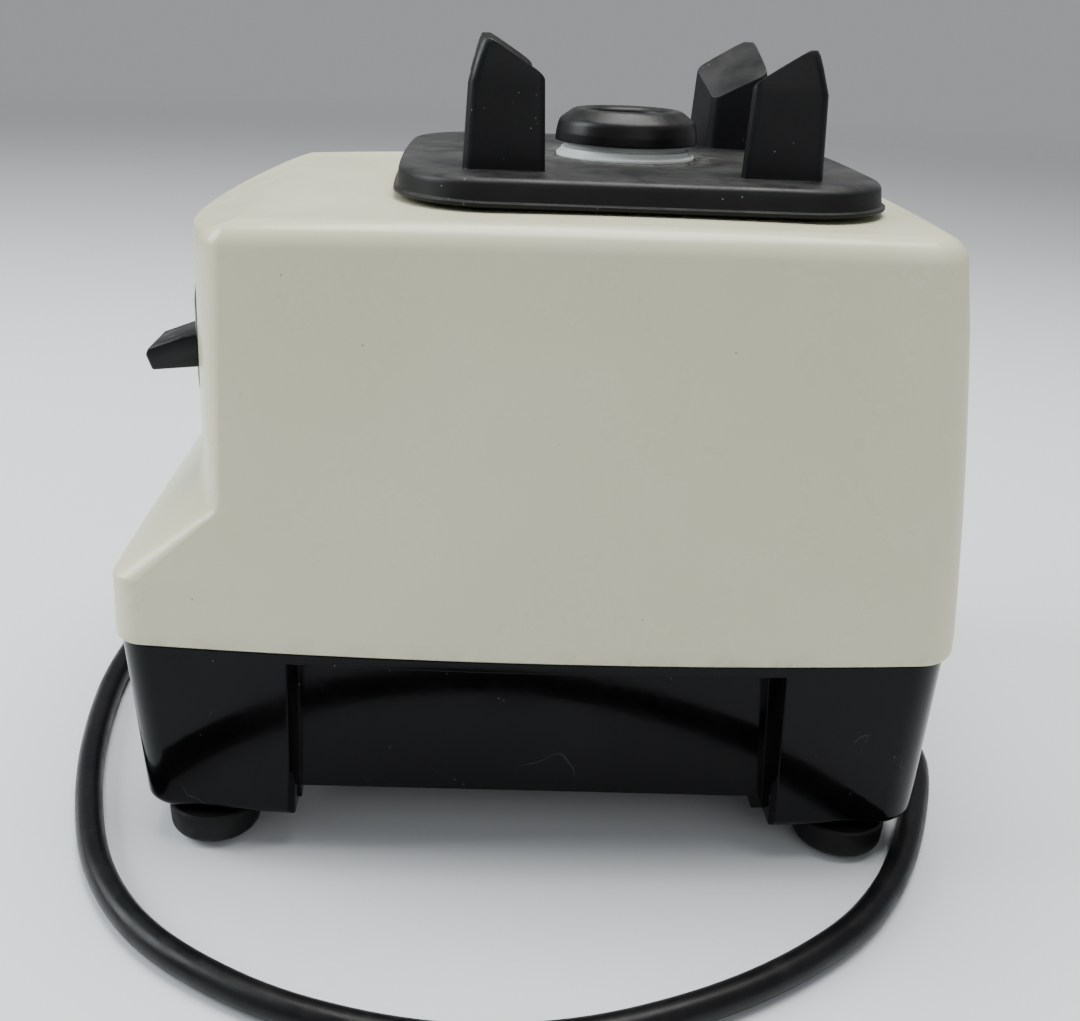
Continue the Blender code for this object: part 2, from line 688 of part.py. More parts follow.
def make_rotor():
    """Everything on the motor's shaft, from the cooling fan up to the drive socket."""
    shaft = [
        (0.0, 0.030),
        (0.0038, 0.030),
        (0.0040, 0.0305),
        (0.0040, 0.066),
        (0.0060, 0.066),
        (0.0060, 0.150),
        (0.0050, 0.150),
        (0.0050, 0.1802),
        (0.0, 0.1806),
    ]
    turned("motor_shaft", shaft, "steel", 24)
    seat = 0.0060 + GAP
    steps = 12
    tooth = ((-0.36, 0.0270), (0.0, 0.0271), (0.36, 0.0270), (0.42, 0.0205), (0.58, 0.0205))
    outline = []
    hole = []
    for index in range(steps):
        for offset, radius in tooth:
            angle = 2 * math.pi * (index + offset) / steps
            outline.append((radius * math.cos(angle), AXIS_Y + radius * math.sin(angle)))
            hole.append((seat * math.cos(angle), AXIS_Y + seat * math.sin(angle)))
    ring_prism("armature_core", outline, hole, CORE_BOTTOM, CORE_TOP, "lamination_steel")
    for name, near, far in (
        ("armature_winding_upper", CORE_TOP + GAP, 0.1455),
        ("armature_winding_lower", CORE_BOTTOM - GAP, 0.0825),
    ):
        lift = far - near
        winding = [(0.010, near), (0.024, near), (0.0245, near + lift * 0.5), (0.020, far), (0.010, far)]
        turned(name, winding, "copper", 28)
    commutator = [
        (seat, 0.0675),
        (0.0150, 0.0675),
        (0.0150, 0.0800),
        (0.0165, 0.0803),
        (0.0165, 0.0820),
        (seat, 0.0820),
    ]
    turned("commutator", commutator, "copper", 32)
    make_fan()
    socket = [
        (0.0050 + GAP, 0.1760),
        (0.0095, 0.1760),
        (0.0104, 0.1770),
        (0.0104, 0.1935),
        (0.0096, 0.1945),
        (0.0074, 0.1945),
        (0.0062, 0.1930),
        (0.0062, 0.1815),
        (0.0050 + GAP, 0.1812),
    ]
    turned("drive_socket", socket, "steel", 32)


def make_fan():
    bore = 0.0040 + GAP
    hub = [
        (bore, 0.0360),
        (0.0100, 0.0360),
        (0.0100, 0.0480),
        (FAN_RADIUS, 0.0480),
        (FAN_RADIUS, 0.0498),
        (bore, 0.0498),
    ]
    fan = turned("cooling_fan", hub, "cast_aluminium", 30)
    bm = bmesh.new()
    for index in range(FAN_BLADES):
        made = bmesh.ops.create_cube(bm, size=1.0)["verts"]
        bmesh.ops.scale(bm, vec=(0.026, 0.0016, 0.0116), verts=made)
        bmesh.ops.rotate(bm, cent=(0, 0, 0), matrix=Matrix.Rotation(math.radians(18), 3, "Z"), verts=made)
        bmesh.ops.translate(bm, vec=(0.0270, 0.0, 0.0429), verts=made)
        turn = Matrix.Rotation(2 * math.pi * index / FAN_BLADES, 3, "Z")
        bmesh.ops.rotate(bm, cent=(0, 0, 0), matrix=turn, verts=made)
        bmesh.ops.translate(bm, vec=(0.0, AXIS_Y, 0.0), verts=made)
    join(fan, add_object("fan_blades", finish_mesh("fan_blades", bm), None))


def bolt_places():
    return [(x * BOLT_OFFSET, AXIS_Y + y * BOLT_OFFSET) for x in (1, -1) for y in (1, -1)]


def bracket_bolt_holes(bracket, low, high):
    for number, (x, y) in enumerate(bolt_places(), 1):
        name = f"{bracket.name}_bolt_hole_{number}"
        cut(bracket, rod(name, (x, y, low), (x, y, high), BOLT_RADIUS + 0.0005, segments=12))


def make_motor_frame():
    """Brackets, bearings and through-bolts that carry the motor."""
    top = [
        (0.0075, 0.1500),
        (BRACKET_RADIUS, 0.1500),
        (BRACKET_RADIUS, 0.1540),
        (0.0200, 0.1560),
        (0.0200, 0.1715),
        (0.0300, 0.1715),
        (0.0300, 0.1755),
        (NECK_RADIUS, 0.1755),
        (NECK_RADIUS, NECK_TOP),
        (NECK_BORE, NECK_TOP),
        (NECK_BORE, 0.1581),
        (0.0075, 0.1581),
    ]
    upper = turned("motor_top_bracket", top, "cast_aluminium", 40)
    bracket_bolt_holes(upper, 0.145, 0.160)
    low = [
        (0.0055, 0.0555),
        (BRACKET_RADIUS, 0.0555),
        (BRACKET_RADIUS, 0.0595),
        (0.0135, 0.0595),
        (0.0135, 0.0655),
        (0.0098, 0.0655),
        (0.0098, 0.0581),
        (0.0055, 0.0581),
    ]
    lower = turned("motor_bottom_bracket", low, "cast_aluminium", 40)
    posts = HOLDER_SECTION[0] / 2
    foot_of_holder = BRUSH_HEIGHT - HOLDER_SECTION[1] / 2 - GAP
    for side, sign in (("near", 1), ("far", -1)):
        ends = sorted((sign * 0.024, sign * 0.044))
        low_corner = (ends[0], AXIS_Y - posts, 0.0585)
        join(lower, block(f"brush_post_{side}", low_corner, (ends[1], AXIS_Y + posts, foot_of_holder)))
        y = AXIS_Y + sign * 0.034
        cut(lower, rod(f"air_window_{side}", (0.0, y, 0.050), (0.0, y, 0.065), 0.014))
    bracket_bolt_holes(lower, 0.050, 0.065)
    for name, inner, outer, bottom in (
        ("upper_bearing", 0.0053, 0.0110, 0.1584),
        ("lower_bearing", 0.0043, 0.0095, 0.0584),
    ):
        race = [(inner, bottom), (outer, bottom), (outer, bottom + 0.0070), (inner, bottom + 0.0070)]
        turned(name, race, "steel", 28)
    bolt = [(0.0, 0.0520), (0.0042, 0.0520), (0.0042, 0.0552), (BOLT_RADIUS, 0.0552)]
    bolt += [(BOLT_RADIUS, 0.1590), (0.0, 0.1595)]
    for number, place in enumerate(bolt_places(), 1):
        turned(f"motor_bolt_{number}", bolt, "steel", 12, centre=place)


def stator_outlines():
    """The lamination's outside and its bore, which has two pole faces and two coil slots."""
    outline = []
    bore = []
    steps = 72
    corner = 0.0140
    for index in range(steps):
        angle = 2 * math.pi * (index + 0.5) / steps
        towards_pole = abs(math.cos(angle))
        radius = 0.0276 if towards_pole > 0.5 else 0.0385
        bore.append((radius * math.cos(angle), AXIS_Y + radius * math.sin(angle)))
        flat = CORE_HALF / max(abs(math.cos(angle)), abs(math.sin(angle)))
        rounded = CORE_HALF * math.sqrt(2) - corner * (math.sqrt(2) - 1)
        radius = min(flat, rounded)
        outline.append((radius * math.cos(angle), AXIS_Y + radius * math.sin(angle)))
    return outline, bore


def make_field_coil(name, middle_angle):
    """A coil that wraps one pole: a window frame bent round the armature."""
    inner_radius, outer_radius = 0.0295, 0.0365
    wide, narrow = math.radians(85), math.radians(63.5)
    steps = 12
    low, high = 0.0850, 0.1430
    low_window, high_window = CORE_BOTTOM - 2 * GAP, CORE_TOP + 2 * GAP
    loops = []
    for half, bottom, top in ((wide, low, high), (narrow, low_window, high_window)):
        across = [half * (2 * step / steps - 1) for step in range(steps + 1)]
        loops.append([(angle, bottom) for angle in across] + [(angle, top) for angle in reversed(across)])
    bm = bmesh.new()
    rows = []
    for loop, radius in ((0, inner_radius), (0, outer_radius), (1, outer_radius), (1, inner_radius)):
        row = []
        for angle, height in loops[loop]:
            turn = middle_angle + angle
            row.append(bm.verts.new((radius * math.cos(turn), AXIS_Y + radius * math.sin(turn), height)))
        rows.append(row)
    for lower, upper in zip(rows, rows[1:] + rows[:1]):
        bridge_rows(bm, lower, upper, len(lower))
    add_object(name, finish_mesh(name, bm), "copper")


def make_stator():
    outline, bore = stator_outlines()
    core = ring_prism("stator_core", outline, bore, CORE_BOTTOM, CORE_TOP, "lamination_steel")
    bracket_bolt_holes(core, 0.085, 0.145)
    make_field_coil("field_coil_near", 0.0)
    make_field_coil("field_coil_far", math.pi)


def helix(start, end, radius, turns, points_per_turn=8):
    """Points of a coil spring from start to end, along X."""
    count = int(turns * points_per_turn)
    points = []
    for index in range(count + 1):
        share = index / count
        angle = 2 * math.pi * turns * share
        offset = Vector((0.0, radius * math.cos(angle), radius * math.sin(angle)))
        points.append(start.lerp(end, share) + offset)
    return points


def tube(name, points, radius, material, resolution=2):
    """A round tube with closed ends through a list of points."""
    curve = bpy.data.curves.new(name, "CURVE")
    curve.dimensions = "3D"
    spline = curve.splines.new("POLY")
    spline.points.add(len(points) - 1)
    for target, point in zip(spline.points, points):
        target.co = (*point, 1.0)
    curve.bevel_depth = radius
    curve.bevel_resolution = resolution
    curve.use_fill_caps = True
    obj = bpy.data.objects.new(name, curve)
    bpy.context.scene.collection.objects.link(obj)
    curve.materials.append(MATERIALS[material])
    return obj


def make_brush_gear():
    """Brush holders, carbon brushes, their springs and caps, on each side of the commutator."""
    for side, sign in (("near", 1), ("far", -1)):
        inner, outer = sorted((sign * 0.0175, sign * 0.0440))
        half = HOLDER_SECTION[0] / 2
        low = (inner, AXIS_Y - half, BRUSH_HEIGHT - half)
        holder = block(f"brush_holder_{side}", low, (outer, AXIS_Y + half, BRUSH_HEIGHT + half), "brass")
        y_half, z_half = BRUSH_SECTION[0] / 2, BRUSH_SECTION[1] / 2
        slot = (y_half + GAP, z_half + GAP)
        ends = sorted((sign * 0.010, sign * 0.050))
        low = (ends[0], AXIS_Y - slot[0], BRUSH_HEIGHT - slot[1])
        cut(holder, block(f"brush_slot_{side}", low, (ends[1], AXIS_Y + slot[0], BRUSH_HEIGHT + slot[1])))
        ends = sorted((sign * 0.0154, sign * 0.0310))
        low = (ends[0], AXIS_Y - y_half, BRUSH_HEIGHT - z_half)
        block(f"carbon_brush_{side}", low, (ends[1], AXIS_Y + y_half, BRUSH_HEIGHT + z_half), "carbon")
        start = Vector((sign * 0.0317, AXIS_Y, BRUSH_HEIGHT))
        end = Vector((sign * 0.0432, AXIS_Y, BRUSH_HEIGHT))
        tube(f"brush_spring_{side}", helix(start, end, 0.0024, 4), 0.0004, "steel", 0)
        place = Matrix.Translation((sign * 0.0443, AXIS_Y, BRUSH_HEIGHT))
        turn = place @ Matrix.Rotation(sign * math.pi / 2, 4, "Y")
        cap = [(0.0, 0.0), (0.0062, 0.0), (0.0062, 0.0022), (0.0040, 0.0030), (0.0, 0.0030)]
        turned(f"brush_cap_{side}", cap, "black_satin_plastic", 20, matrix=turn)


def make_fan_shroud():
    bottom = FLOOR_TOP + GAP
    profile = [
        (0.0455, bottom),
        (0.0475, bottom),
        (0.0475, 0.0552),
        (0.0450, 0.0552),
        (0.0450, bottom + 0.004),
        (0.0455, bottom + 0.003),
    ]
    turned("fan_shroud", profile, "black_satin_plastic", 40)


def make_control_panel():
    """A plate in the housing's front opening, curved like the face round it."""
    half = PANEL_HALF - GAP
    low, high = PANEL_BOTTOM + GAP, PANEL_TOP - GAP
    middle = (low + high) / 2
    half_width = HOUSING_HALF_WIDTH - (middle - HOUSING_BOTTOM) * SIDE_DRAFT
    face_bow, _ = front_shape(middle)
    thickness = 0.0026
    steps = 12
    rings = []
    for step in range(steps + 1):
        x = half * (2 * step / steps - 1)
        front = FRONT_PROFILE[-1][1] + face_bow * (x / half_width) ** 2 + 0.0008
        back = front + thickness
        rings.append([(x, front, low), (x, back, low), (x, back, high), (x, front, high)])
    panel = loft("control_panel", rings, "black_satin_plastic", smooth=True)
    for side, sign in (("near", 1), ("far", -1)):
        centre = sign * PADDLE_X
        room = PADDLE_WIDTH / 2 + 0.0008
        low_corner, high_corner = (centre - room, -0.105, 0.1300), (centre + room, -0.080, 0.1502)
        cut(panel, block(f"paddle_slot_{side}", low_corner, high_corner))
    return panel


def make_paddle(name, side, centre):
    """A rocking lever: its empty sits on the pivot's axis, and the lever points down at rest."""
    pivot = bpy.data.objects.new(name + "_pivot", None)
    pivot.location = (centre, PIVOT_Y, PIVOT_Z)
    pivot.rotation_euler = (PADDLE_REST, 0.0, 0.0)
    bpy.context.scene.collection.objects.link(pivot)
    hub = 0.0048
    back = [(hub * math.sin(a), hub * math.cos(a)) for a in (math.radians(30 * step) for step in range(7))]
    lever = [(-0.0115, -0.0044), (-0.0230, -0.0030), (-0.0238, 0.0014), (-0.0225, 0.0030)]
    outline = back + lever + [(-0.0125, 0.0046)]
    half = PADDLE_WIDTH / 2
    paddle = prism(name, outline, -half, half, "black_satin_plastic", axis="X")
    paddle.parent = pivot
    hole = rod(name + "_pin_hole", (-0.020, 0, 0), (0.020, 0, 0), PIN_RADIUS + GAP, segments=16)
    hole.parent = pivot
    cut(paddle, hole)
    body = block(
        side + "_switch_body",
        (centre - 0.0110, -0.0768, 0.1290),
        (centre + 0.0110, -0.0500, 0.1520),
        "black_satin_plastic",
    )
    for ear, sign in (("left", -1), ("right", 1)):
        ends = sorted((centre + sign * (half + 2 * GAP), centre + sign * (half + 0.0032)))
        low = (ends[0], -0.0865, 0.1350)
        join(body, block(f"{side}_switch_ear_{ear}", low, (ends[1], -0.0700, 0.1460)))
    reach = 0.0132
    ends = ((centre - reach, PIVOT_Y, PIVOT_Z), (centre + reach, PIVOT_Y, PIVOT_Z))
    hole_ends = [(x + math.copysign(0.004, x - centre), y, z) for x, y, z in ends]
    cut(body, rod(f"{side}_switch_pin_hole", *hole_ends, PIN_RADIUS + GAP, segments=16))
    rod(f"{side}_pivot_pin", *ends, PIN_RADIUS, "steel", 16)


def smooth_points(route, spacing):
    """Points at an even spacing along a smooth curve through the route's points."""
    route = [Vector(point) for point in route]
    padded = [2 * route[0] - route[1]] + route + [2 * route[-1] - route[-2]]
    fine = []
    for before, start, end, after in zip(padded, padded[1:], padded[2:], padded[3:]):
        for step in range(24):
            t = step / 24
            a = 2 * start
            b = end - before
            c = 2 * before - 5 * start + 4 * end - after
            d = 3 * start - before - 3 * end + after
            fine.append((a + b * t + c * t**2 + d * t**3) / 2)
    fine.append(route[-1])
    lengths = [0.0]
    for start, end in zip(fine, fine[1:]):
        lengths.append(lengths[-1] + (end - start).length)
    count = max(2, round(lengths[-1] / spacing))
    points = []
    index = 0
    for step in range(count + 1):
        target = lengths[-1] * step / count
        while index < len(fine) - 2 and lengths[index + 1] < target:
            index += 1
        share = (target - lengths[index]) / (lengths[index + 1] - lengths[index])
        points.append(fine[index].lerp(fine[index + 1], min(1.0, share)))
    return points


def path_length(points):
    return sum((end - start).length for start, end in zip(points, points[1:]))


def make_leads():
    """Insulated wires inside the housing, from the floor to the switches and to a brush."""
    routes = {
        "lead_mains": [
            (-0.060, 0.040, 0.0215),
            (-0.062, 0.000, 0.030),
            (-0.060, -0.040, 0.060),
            (-0.052, -0.048, 0.100),
            (-0.042, -0.042, 0.128),
            (-0.042, -0.0450, 0.1400),
            (-0.042, -0.0484, 0.1440),
        ],
        "lead_between_switches": [
            (-0.036, -0.0492, 0.1400),
            (-0.034, -0.043, 0.1430),
            (-0.015, -0.039, 0.1360),
            (0.015, -0.039, 0.1360),
            (0.034, -0.043, 0.1430),
            (0.036, -0.0492, 0.1400),
        ],
        "lead_motor": [
            (0.045, -0.0492, 0.1400),
            (0.050, -0.042, 0.1370),
            (0.064, -0.020, 0.110),
            (0.070, 0.010, 0.085),
            (0.062, 0.026, 0.0745),
            (0.0480, AXIS_Y, BRUSH_HEIGHT),
        ],
    }
    for name, route in routes.items():
        tube(name, smooth_points(route, 0.009), 0.0014, "cord_rubber", 1)


def make_strain_relief():
    profile = [
        (0.0, -0.0118),
        (0.0047, -0.0118),
        (0.0047, 0.0),
        (0.0068, 0.0),
        (0.0068, 0.0018),
        (0.0062, 0.0020),
        (0.0046, RELIEF_LENGTH - GAP),
        (0.0, RELIEF_LENGTH - GAP),
    ]
    heading = Vector((math.cos(RELIEF_HEADING), math.sin(RELIEF_HEADING), 0.0))
    turn = heading.to_track_quat("Z", "Y").to_matrix().to_4x4()
    turned("strain_relief", profile, "cord_rubber", 20, matrix=Matrix.Translation(RELIEF_START) @ turn)


def make_cord():
    heading = Vector((math.cos(RELIEF_HEADING), math.sin(RELIEF_HEADING), 0.0))
    start = RELIEF_START + heading * RELIEF_LENGTH
    route = [start] + smooth_points([start + heading * 0.003] + CORD_ROUTE, 2.2 * 2 * CORD_RADIUS)
    tail = smooth_points(TAIL_ROUTE, 2.2 * 2 * CORD_RADIUS)
    tube("power_cord", route, CORD_RADIUS, "cord_rubber", 2)
    tube("cord_tail", tail, CORD_RADIUS, "cord_rubber", 2)
    coiled = CORD_LENGTH - path_length(route) - path_length(tail)
    middle = coiled / (2 * math.pi * COIL_TURNS)
    inner, outer = middle - 2 * CORD_RADIUS, middle + 2 * CORD_RADIUS
    bottom, top = 0.0002, 4 * CORD_RADIUS + 0.0004
    profile = [(inner, bottom), (outer, bottom), (outer, top), (inner, top)]
    turned("cord_coil", profile, "cord_rubber", 40, centre=COIL_CENTRE[:2])


def make_plug():
    """A moulded three-pin plug that lies on the table, pins forward."""
    rings = []
    for along, half_wide, low, high in (
        (0.0, 0.0052, -0.0046, 0.0052),
        (0.014, 0.0075, -0.0066, 0.0080),
        (0.020, 0.0120, -0.0083, 0.0120),
        (0.036, 0.0132, -0.0083, 0.0140),
        (0.042, 0.0132, -0.0083, 0.0140),
    ):
        middle, half = (low + high) / 2, (high - low) / 2
        corner = min(half_wide, half) * 0.45
        section = rounded_rectangle(half_wide, -half, half, corner, side_steps=1, corner_steps=3)
        rings.append([PLUG_START + Vector((x, -along, middle + z)) for x, z in section])
    loft("plug_body", rings, "black_satin_plastic", smooth=True)
    face = PLUG_START.y - 0.042 - GAP
    centre = PLUG_START.z + 0.0045
    for side, sign in (("left", -1), ("right", 1)):
        x = PLUG_START.x + sign * 0.00635
        low = (x - 0.00075, face - 0.016, centre - 0.0032)
        block(f"plug_blade_{side}", low, (x + 0.00075, face, centre + 0.0032), "brass")
    x, z = PLUG_START.x, PLUG_START.z - 0.0040
    rod("plug_ground_pin", (x, face, z), (x, face - 0.0175, z), 0.0024, "brass", 12)


def centre_on_origin():
    """Moves the finished pieces and their cutters so that the origin is under the middle."""
    for obj in bpy.data.objects:
        if obj.parent is None:
            obj.location.y += ORIGIN_SHIFT


clear_scene()
MATERIALS = {name: make_material(name, *values) for name, values in MATERIAL_VALUES.items()}
make_housing()
make_base()
make_bottom_cover()
make_feet()
make_pad()
make_nut_and_ring()
make_rotor()
make_motor_frame()
make_stator()
make_brush_gear()
make_fan_shroud()
make_control_panel()
make_paddle("power_paddle", "power", PADDLE_X)
make_paddle("speed_paddle", "speed", -PADDLE_X)
make_leads()
make_strain_relief()
make_cord()
make_plug()
centre_on_origin()
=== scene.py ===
"""Looks of the blender motor base: fine skins, materials, cord, floor, lights and camera."""

import math

import bmesh
import bpy
from mathutils import Matrix, Vector


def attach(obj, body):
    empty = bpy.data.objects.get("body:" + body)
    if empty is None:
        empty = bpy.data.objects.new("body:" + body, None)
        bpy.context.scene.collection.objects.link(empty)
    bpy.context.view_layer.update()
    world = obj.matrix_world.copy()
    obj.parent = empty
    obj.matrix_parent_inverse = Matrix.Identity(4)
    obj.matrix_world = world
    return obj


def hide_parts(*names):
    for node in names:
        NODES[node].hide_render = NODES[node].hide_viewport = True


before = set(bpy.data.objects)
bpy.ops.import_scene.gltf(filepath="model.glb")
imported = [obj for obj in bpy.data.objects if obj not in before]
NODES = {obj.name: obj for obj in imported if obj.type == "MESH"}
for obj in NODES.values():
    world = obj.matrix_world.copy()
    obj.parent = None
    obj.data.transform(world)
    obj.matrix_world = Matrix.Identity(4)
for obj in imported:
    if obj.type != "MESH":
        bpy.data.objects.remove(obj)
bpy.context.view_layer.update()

GAP = 0.0003
# The lengths along Y below start 3.9 mm in front of the frame's origin, and this moves every piece there.
SHIFT = Vector((0.0, -0.0039, 0.0))
AXIS_Y = 0.0265

# Housing.
HOUSING_BOTTOM = 0.0663
HOUSING_HALF_WIDTH = 0.0870
SIDE_DRAFT = 0.0755
SIDE_BOW = 0.0052
REAR = 0.1189
REAR_DRAFT = 0.0544
REAR_CURVE = 0.466
REAR_DRAFT_START = 0.072
REAR_BOW = 0.0020
CORNER_RADIUS = 0.0120
HOUSING_WALL = 0.0030
TOE_FRONT = -0.1110
FACE_FRONT = -0.0964
TOE_TOP = 0.0846
LEDGE_TOP = 0.1040
# The front's bow across its width and the radius of its corners: (height, bow, radius).
FRONT_SHAPE = [(0.0843, 0.0004, 0.0085), (0.1045, 0.0140, 0.0045), (0.1700, 0.0130, 0.0090)]
CROWN_TOP = 0.1799
CROWN_ACROSS = 0.12
CROWN_ALONG = 0.20
TOP_EDGE_RADIUS = 0.0070
BOTTOM_EDGE_RADIUS = 0.0016
BROW_BACK = -0.0735
BROW_BACK_HEIGHT = 0.1778
BROW_SLOPE = 0.349
NECK_RADIUS = 0.0144

# Base.
BASE_TOP = 0.0660
BASE_HALF_WIDTH = 0.0856
BASE_TAPER = 0.085
BASE_FRONT = -0.1098
BASE_FRONT_TAPER = 0.055
BASE_REAR = 0.1174
LEG_BOTTOM = 0.0110
LEG_EDGE_RADIUS = 0.0034
FLOOR_UNDERSIDE = 0.0150
FLOOR_TOP = 0.0190
RECESS_TOP = 0.0628
SIDE_RECESS_X = 0.0740
SIDE_RECESS_FRONT = -0.0626
SIDE_RECESS_REAR = 0.0685
# Lean of each recess side and width of its chamfer at the top, with the width's growth downwards.
FRONT_RECESS_SIDE = (0.0145, 0.0022, 0.054)
REAR_RECESS_SIDE = (0.0640, 0.0019, 0.004)
END_RECESS_X = 0.0520
FRONT_RECESS_Y = -0.0960
REAR_RECESS_Y = 0.0986
INTAKE_RADIUS = 0.0440
SCREW_BORE = 0.0024
FOOT_X = 0.0720
FOOT_YS = {"front": -0.0880, "rear": 0.0950}
FOOT_TOP = LEG_BOTTOM - GAP

# Pad, pegs, nut and ring.
PAD_CENTRE_Y = 0.0267
PAD_HALF_WIDTH = 0.0652
PAD_HALF_DEPTH = 0.0672
PAD_CORNER = 0.0275
PAD_BOW = 0.0026
PAD_EDGE_RADIUS = 0.0022
PAD_LIP = 0.0012
PAD_BOTTOM = 0.1802
PAD_TOP = 0.1875
PEG_TOP = 0.2198
PEG_FACET_SLOPE = 0.75
PEG_FACET_START = 0.0842
PEG_SPLAY = 0.0046  # how far the section's inner corner lies back from a square's
PEG_SECTIONS = [
    (0.1860, 0.0252, 0.0477),
    (0.2090, 0.0262, 0.0467),
    (0.2156, 0.0265, 0.0450),
    (0.2185, 0.0268, 0.0441),
    (0.2198, 0.0272, 0.0434),
]
PEG_ROUNDING = 0.0030
RING_RADIUS = 0.0204

# Switches. The bezel's outlines are (half width, bottom, top, corner radius).
PANEL_HALF = 0.0560
PANEL_BOTTOM = 0.1120
PANEL_TOP = 0.1620
PANEL_PROUD = 0.0008
BEZEL_OUTSIDE = (0.0148, 0.1270, 0.1552, 0.0030)
BEZEL_HOLE = (0.0110, 0.1308, 0.1514, 0.0012)
PADDLE_X = 0.0420
PADDLE_WIDTH = 0.0200
PIVOT_Y = -0.0820
PIVOT_Z = 0.1395
PADDLE_REST = math.radians(12)
PIN_RADIUS = 0.0016

# Cord.
CORD_RADIUS = 0.0040
RELIEF_START = Vector((-0.0310, 0.0820, 0.0076))
RELIEF_LENGTH = 0.0220
RELIEF_HEADING = math.radians(60)
COIL_CENTRE = Vector((-0.1648, -0.0560, 0.0))
PLUG_START = Vector((-0.2248, -0.0943, 0.0085))
CORD_ROUTE = [
    (-0.0095, 0.1155, 0.0052),
    (-0.0005, 0.1225, 0.0043),
    (0.0120, 0.1278, 0.0042),
    (0.0260, 0.1302, 0.0042),
    (0.0400, 0.1292, 0.0042),
    (0.0580, 0.1232, 0.0042),
    (0.0820, 0.1125, 0.0042),
    (0.1010, 0.1010, 0.0042),
    (0.1180, 0.0860, 0.0042),
    (0.1340, 0.0640, 0.0042),
    (0.1460, 0.0400, 0.0042),
    (0.1545, 0.0130, 0.0042),
    (0.1570, -0.0150, 0.0042),
    (0.1525, -0.0430, 0.0042),
    (0.1420, -0.0700, 0.0042),
    (0.1240, -0.0960, 0.0042),
    (0.1000, -0.1140, 0.0042),
    (0.0700, -0.1258, 0.0042),
    (0.0350, -0.1340, 0.0042),
    (-0.0050, -0.1380, 0.0042),
    (-0.0420, -0.1350, 0.0042),
    (-0.0740, -0.1220, 0.0042),
    (-0.0950, -0.0990, 0.0042),
    (-0.1035, -0.0750, 0.0042),
]

# Camera: place, aim in degrees (turn, tilt down, roll), lens in mm and shift.
CAMERA_PLACE = Vector((0.37726, -0.02069, 0.22671))
CAMERA_TURN = -1.31
CAMERA_TILT = 20.78
CAMERA_ROLL = 2.19
CAMERA_LENS = 41.19
CAMERA_SHIFT = (0.0411, -0.0295)

# Even light from all round, of the same colour as the far wall.
WORLD_COLOUR = (0.80, 0.82, 0.84)
WORLD_STRENGTH = 0.42


# ---------------------------------------------------------------- materials


